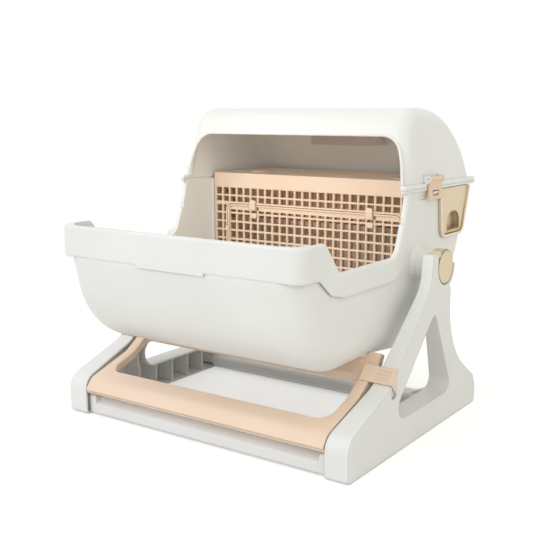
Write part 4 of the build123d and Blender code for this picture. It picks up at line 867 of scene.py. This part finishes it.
@dataclass
class Drum(SubAssembly):
    """The tub, the hood, the sieve wall and the parts fixed to them."""

    NODES: ClassVar[dict[str, str]] = {
        "basin": "white_basin", "hood": "white_hood", "sieve_partition": "peach_grid",
        "flap_hinge_pins": "steel_pin", "drawer_rail_front": "white_rail",
        "drawer_rail_rear": "white_rail", "trunnion_right": "peach_trunnion",
        "trunnion_left": "peach_trunnion", "trunnion_screws": "zinc_screw",
        "latch_pins": "steel_pin"}
    ENTRY_HALF: ClassVar[tuple[Corner, ...]] = (
        (208.0, 368.0, 0.0), (201.5, 405.0, 80.0), (189.0, 444.0, 34.0))

    grid_columns: int = 13
    grid_foot: float = 161.5
    flap_half: float = 176.8
    flap_top: float = 321.3
    flap_foot: float = 185.7
    flap_corner: float = 13.5
    bead_radius: float = 1.7
    bead_inset: float = 1.6
    entry_face_y: float = 13.3
    entry_face_z: float = 364.0
    entry_lean: float = 0.2325
    entry_sink: float = 1.2
    entry_radius: float = 2.6
    rim_x: float = 259.1
    rim_radius: float = 24.4
    lug_x: float = 259.3
    lug_reach: float = 30.0
    lug_turn: float = 136.0
    lug_radius: float = 3.1

    def build(self) -> list[Piece]:
        """Dresses the drum and adds its moulded trim."""
        self.dress()
        bars = self.grid_bars()
        return [self.bead("partition_grid_crowns", bars, False, self.crown_radius,
                          "peach_grid", "drum"),
                self.grid_webs("partition_grid_webs", bars, "peach_grid", "drum"),
                self.flap_frame_bead(), *self.hinge_covers(), self.entry_bead(),
                *self.trunnion_trim()]

    def grid_bars(self) -> list[list[Point]]:
        """Lays out the fixed grid's bars round the flap's opening.

        Returns:
            The two ends of each bar, in mm.
        """
        bars: list[list[Point]] = []
        y = self.crown_y
        reach = self.grid_columns * self.grid_pitch
        for column in range(-self.grid_columns, self.grid_columns + 1):
            x = column * self.grid_pitch
            if abs(x) > self.flap_half:
                bars.append([(x, y, self.grid_foot), (x, y, self.grid_top)])
            else:
                bars.append([(x, y, self.grid_foot), (x, y, self.flap_foot)])
                bars.append([(x, y, self.flap_top), (x, y, self.grid_top)])
        z = self.grid_top
        while z > self.grid_foot - 1.0:
            if self.flap_foot < z < self.flap_top:
                for side, _ in SIDES:
                    bars.append([(side * self.flap_half, y, z), (side * reach, y, z)])
            else:
                bars.append([(-reach, y, z), (reach, y, z)])
            z -= self.grid_pitch
        return bars

    def flap_frame_bead(self) -> Piece:
        """Sweeps the rounded bead of the frame that the flap closes against."""
        loop = rounded_frame(self.flap_half - self.bead_inset, self.flap_foot + self.bead_inset,
                             self.flap_top - self.bead_inset, self.flap_corner)
        return self.bead("flap_frame_bead", [[(x, 85.0, z) for x, z in loop]], True,
                         self.bead_radius, "peach_grid", "drum")

    def hinge_covers(self) -> list[Piece]:
        """Makes the two rounded tabs that stand in front of the flap's pins."""
        finish = self.materials["peach_flap"]
        made = []
        for side, word in SIDES:
            x = side * self.hinge_x
            front = rounded_path([(x - 6.2, 309.0, 2.0), (x + 6.2, 309.0, 2.0),
                                  (x + 6.2, 327.0, 5.6), (x - 6.2, 327.0, 5.6)], True)
            root = [(x - 5.6, 320.2), (x + 5.6, 320.2), (x + 5.6, 325.4), (x - 5.6, 325.4)]
            made.append(moulded_lug("hinge_cover_" + word, front, (80.6, 83.0), 0.8, finish))
            made.append(moulded_lug("hinge_cover_root_" + word, root, (82.6, 87.6), 0.5, finish))
        return [on_body(piece, "drum") for piece in made]

    def entry_bead(self) -> Piece:
        """Sweeps the thickened bead round the hood's entry, on its leaning front face."""
        left = [(-x, z, radius) for x, z, radius in self.ENTRY_HALF]
        edge = rounded_path([*left, *self.ENTRY_HALF[::-1]], False, 6.0)
        path = [(x, self.entry_face_y + (z - self.entry_face_z) * self.entry_lean
                 + self.entry_sink, z) for x, z in edge]
        return self.bead("entry_bead", [path], False, self.entry_radius, "white_hood", "drum")

    def trunnion_trim(self) -> list[Piece]:
        """Sweeps the bright rim of each trunnion cap and the ring of its stop lug."""
        turn = math.radians(self.lug_turn)
        stop = (self.pivot[0] + self.lug_reach * math.cos(turn),
                self.pivot[1] + self.lug_reach * math.sin(turn))
        rims = [arc(side * self.rim_x, self.pivot, self.rim_radius, range(0, 360, 6))
                for side, _ in SIDES]
        rings = [arc(side * self.lug_x, stop, self.lug_radius, range(0, 360, 20))
                 for side, _ in SIDES]
        return [self.bead("trunnion_rims", rims, True, 0.9, "peach_trunnion", "drum"),
                self.bead("trunnion_lug_rings", rings, True, 0.7, "peach_trunnion", "drum")]


@dataclass(frozen=True)
class PanelBead:
    """A bead on the drawer's front: place along X, radius, finish, shape and degrees a step."""

    name: str
    x: float
    radius: float
    finish: str
    closed: bool
    step: float
    corners: tuple[Corner, ...]


@dataclass
class MovingParts(SubAssembly):
    """The flap, the drawer and the two latches."""

    NODES: ClassVar[dict[str, str]] = {
        "sieve_flap": "peach_flap", "drawer_tray": "peach_drawer", "drawer_front": "peach_drawer",
        "latch_right": "peach_latch", "latch_left": "peach_latch"}
    PANEL_BEADS: ClassVar[tuple[PanelBead, ...]] = (
        # The border bead in the sand_edge finish carries a painted highlight on the raised rim.
        PanelBead("drawer_border_bead", 217.6, 1.9, "sand_edge", False, 7.0,
                  ((130.6, 357.0, 0.0), (140.3, 281.2, 14.0), (218.6, 281.2, 16.0),
                   (243.6, 357.0, 0.0))),
        PanelBead("drawer_recess_bead", 216.0, 0.9, "peach_drawer", True, 8.0,
                  ((159.0, 288.0, 4.0), (210.0, 288.0, 4.0), (208.0, 320.0, 19.9),
                   (161.0, 320.0, 19.9))),
        # The two beads in the sand_step finish are dark lines of painted shade along the steps.
        PanelBead("drawer_border_shade_line", 216.1, 0.95, "sand_step", False, 7.0,
                  ((134.2, 357.0, 0.0), (143.0, 284.6, 11.5), (216.2, 284.6, 13.0),
                   (240.0, 357.0, 0.0))),
        PanelBead("drawer_recess_shade_line", 215.2, 0.85, "sand_step", True, 8.0,
                  ((161.4, 290.2, 3.0), (207.6, 290.2, 3.0), (205.8, 317.8, 18.0),
                   (163.4, 317.8, 18.0))))

    flap_half: float = 173.0
    flap_top: float = 317.5
    flap_foot: float = 189.5
    flap_corner: float = 10.4
    bead_radius: float = 1.7
    column_top: float = 305.0
    row_skip: int = 3

    def build(self) -> list[Piece]:
        """Dresses the moving parts and adds their moulded trim."""
        self.dress()
        bars = self.flap_bars()
        return [self.bead("flap_grid_crowns", bars, False, self.crown_radius,
                          "peach_flap", "flap"),
                self.grid_webs("flap_grid_webs", bars, "peach_flap", "flap"),
                self.flap_rim_bead(), *self.flap_stops(), *self.drawer_beads()]

    def flap_bars(self) -> list[list[Point]]:
        """Lays out the flap's bars.

        Returns:
            The two ends of each bar, in mm.
        """
        bars: list[list[Point]] = []
        y = self.crown_y
        for column in range(-11, 12):
            x = column * self.grid_pitch
            if abs(x) < self.flap_half - 4.0:
                bars.append([(x, y, self.flap_foot + 3.0), (x, y, self.column_top)])
        z = self.grid_top - self.row_skip * self.grid_pitch
        while z > self.flap_foot + 2.0:
            bars.append([(-self.flap_half + 3.0, y, z), (self.flap_half - 3.0, y, z)])
            z -= self.grid_pitch
        return bars

    def flap_rim_bead(self) -> Piece:
        """Sweeps the rounded rim of the flap."""
        loop = rounded_frame(self.flap_half - self.bead_radius, self.flap_foot + self.bead_radius,
                             self.flap_top - self.bead_radius, self.flap_corner)
        return self.bead("flap_rim_bead", [[(x, 85.2, z) for x, z in loop]], True,
                         self.bead_radius, "peach_flap", "flap")

    def flap_stops(self) -> list[Piece]:
        """Makes the two small blocks under the flap's pins."""
        made = []
        for side, word in SIDES:
            x = side * self.hinge_x
            front = [(x - 5.6, 294.0), (x + 5.6, 294.0), (x + 5.6, 303.0), (x - 5.6, 303.0)]
            made.append(moulded_lug("flap_block_" + word, front, (84.4, 88.0), 0.9,
                                    self.materials["peach_flap"]))
        return [on_body(piece, "flap") for piece in made]

    def drawer_beads(self) -> list[Piece]:
        """Sweeps the drawer's border in painted highlight, its recess's edge and the steps in
        painted shade.
        """
        made = []
        for panel in self.PANEL_BEADS:
            line = rounded_path(panel.corners, panel.closed, panel.step)
            made.append(self.bead(panel.name, [[(panel.x, y, z) for y, z in line]], panel.closed,
                                  panel.radius, "peach_drawer", "drawer", panel.finish))
        return made


# ---- Studio ----
@dataclass
class PhotoCamera:
    """A camera at the photograph's place, angle and length."""

    place: Point = (0.795899, -1.154236, 0.479212)
    heading: float = 34.943
    tilt: float = 10.5575
    roll: float = -0.085
    lens: float = 57.455

    def build(self) -> Piece:
        """Makes the scene's camera.

        Returns:
            The camera object.
        """
        heading, tilt, roll = (math.radians(a) for a in (self.heading, self.tilt, self.roll))
        level = Vector((-math.sin(heading), math.cos(heading), 0.0))
        right = Vector((math.cos(heading), math.sin(heading), 0.0))
        ahead = level * math.cos(tilt) - Vector((0.0, 0.0, math.sin(tilt)))
        above = right.cross(ahead)
        across = right * math.cos(roll) + above * math.sin(roll)
        upward = above * math.cos(roll) - right * math.sin(roll)
        data = bpy.data.cameras.new("photo_camera")
        data.lens = self.lens
        data.sensor_width = 36.0
        data.clip_start = 0.05
        camera = bpy.data.objects.new("photo_camera", data)
        turned = Matrix((across, upward, -ahead)).transposed().to_4x4()
        camera.matrix_world = Matrix.Translation(self.place) @ turned
        bpy.context.scene.collection.objects.link(camera)
        bpy.context.scene.camera = camera
        return camera


@dataclass(frozen=True)
class Softbox:
    """A square soft lamp: its place and aim in metres, side in metres and power in watts."""

    name: str
    place: Point
    aim: Point
    size: float
    power: float
    colour: str = "#FFFFFF"
    hidden: bool = False

    def build(self) -> Piece:
        """Hangs the lamp.

        Returns:
            The lamp object, which the camera doesn't see if it is hidden.
        """
        data = bpy.data.lights.new(self.name, "AREA")
        data.shape = "SQUARE"
        data.size = self.size
        data.energy = self.power
        data.color = linear(self.colour)[:3]
        made = bpy.data.objects.new(self.name, data)
        made.location = self.place
        aimed = Vector(self.aim) - Vector(self.place)
        made.rotation_euler = aimed.to_track_quat("-Z", "Y").to_euler()
        bpy.context.scene.collection.objects.link(made)
        if self.hidden:
            made.visible_camera = False
        return made


@dataclass
class Studio:
    """A white floor, a white surround and large soft lamps."""

    SOFTBOXES: ClassVar[tuple[Softbox, ...]] = (
        Softbox("key_softbox", (-1.1, -2.2, 1.9), (0.0, 0.0, 0.25), 1.8, 11.8, "#F0F5FF"),
        Softbox("fill_softbox", (2.2, -1.2, 1.1), (0.0, 0.0, 0.25), 1.6, 7.0),
        Softbox("front_softbox", (-0.2, -2.0, 0.75), (0.0, 0.1, 0.28), 1.2, 2.0, "#F0F5FF"),
        Softbox("entry_softbox", (-0.06, -0.14, 0.40), (0.10, 0.3, 0.39), 0.22, 0.14,
                "#FFEEDA", True),
        Softbox("compartment_softbox", (0.0, 0.106, 0.235), (0.0, 0.26, 0.19), 0.16, 0.016,
                "#FFC9A2", True),
        Softbox("top_softbox", (0.0, 0.3, 2.4), (0.0, 0.0, 0.2), 2.0, 2.0))

    floor_half: float = 6.0
    floor_colour: str = "#E4E3E1"
    floor_lift: float = 0.45
    shadow_reach: float = 0.75
    surround: float = 0.80
    card_facing: Point = (0.86, 0.5, 0.0)
    white_card: float = 0.12
    cream_card: float = 0.14

    def floor_material(self) -> Material:
        """Builds a floor that shows white and keeps the shadow.

        Returns:
            A pale painted floor with a little light of its own for the camera.
        """
        made, tree, place = new_material("white_painted_floor")
        seen = seen_plainly(tree)
        paint = add_node(tree, "ShaderNodeBsdfDiffuse", {"Color": linear(self.floor_colour)})
        glow = add_node(tree, "ShaderNodeEmission",
                        {"Color": linear("#FFFFFF"),
                         "Strength": combined(tree, "MULTIPLY", seen, self.floor_lift)})
        both = add_node(tree, "ShaderNodeAddShader",
                        {0: paint.outputs["BSDF"], 1: glow.outputs["Emission"]})
        # Past the reach of the shadow the floor shows as plain white, so no horizon is seen.
        away = add_node(tree, "ShaderNodeVectorMath", {"operation": "LENGTH", 0: place})
        far = mapped(tree, away.outputs["Value"], (self.shadow_reach, self.shadow_reach * 2.0))
        white = add_node(tree, "ShaderNodeEmission", {"Color": linear("#FFFFFF"), "Strength": 1.0})
        floor = add_node(tree, "ShaderNodeMixShader",
                         {0: combined(tree, "MULTIPLY", far, seen), 1: both.outputs["Shader"],
                          2: white.outputs["Emission"]})
        add_node(tree, "ShaderNodeOutputMaterial", {"Surface": floor.outputs["Shader"]})
        return made

    def floor(self) -> Piece:
        """Makes the floor just under the pads."""
        half = self.floor_half
        mesh = bpy.data.meshes.new("studio_floor")
        mesh.from_pydata([(-half, -half, 0.0), (half, -half, 0.0), (half, half, 0.0),
                          (-half, half, 0.0)], [], [(0, 1, 2, 3)])
        mesh.materials.append(self.floor_material())
        made = placed("studio_floor", mesh)
        return made

    def world(self) -> None:
        """Sets a surround that shows pure white and lights like two cards."""
        world = bpy.data.worlds.new("white_surround")
        world.use_nodes = True
        tree = world.node_tree
        tree.nodes.clear()
        seen = seen_plainly(tree)
        # A white card stands at the front left and a cream one at the right.
        ray = add_node(tree, "ShaderNodeTexCoord").outputs["Generated"]
        facing = add_node(tree, "ShaderNodeVectorMath",
                          {"operation": "DOT_PRODUCT", 1: self.card_facing, 0: ray})
        side = mapped(tree, facing.outputs["Value"], (-0.8, 0.8))
        cards = mixed(tree, side, "#FFFFFF", "#FFFEF2")
        levels = mapped(tree, facing.outputs["Value"], (-0.8, 0.8),
                        (self.surround + self.white_card, self.surround - self.cream_card))
        level = add_node(tree, "ShaderNodeMix", {"data_type": "FLOAT", 3: 1.0, 0: seen, 2: levels})
        glow = add_node(tree, "ShaderNodeBackground",
                        {"Color": mixed(tree, seen, cards, "#FFFFFF"),
                         "Strength": level.outputs[0]})
        add_node(tree, "ShaderNodeOutputWorld", {"Surface": glow.outputs["Background"]})
        bpy.context.scene.world = world

    def build(self) -> None:
        """Makes the floor, the surround and the lamps."""
        self.floor()
        self.world()
        for softbox in self.SOFTBOXES:
            log.info("Studio: %s hung", softbox.build().name)
        bpy.context.scene.view_settings.view_transform = "Standard"


def main() -> None:
    """Builds the camera, the sub-assemblies and the studio in order."""
    logging.basicConfig(level=logging.INFO, format="%(name)s: %(message)s")
    PhotoCamera().build()
    materials = {slot: finish.material() for slot, finish in FINISHES.items()}
    for assembly in (Stand(materials), Drum(materials), MovingParts(materials)):
        for piece in assembly.build():
            log.info("%s: %s added", type(assembly).__name__, piece.name)
    Studio().build()


if __name__ == "__main__":
    main()
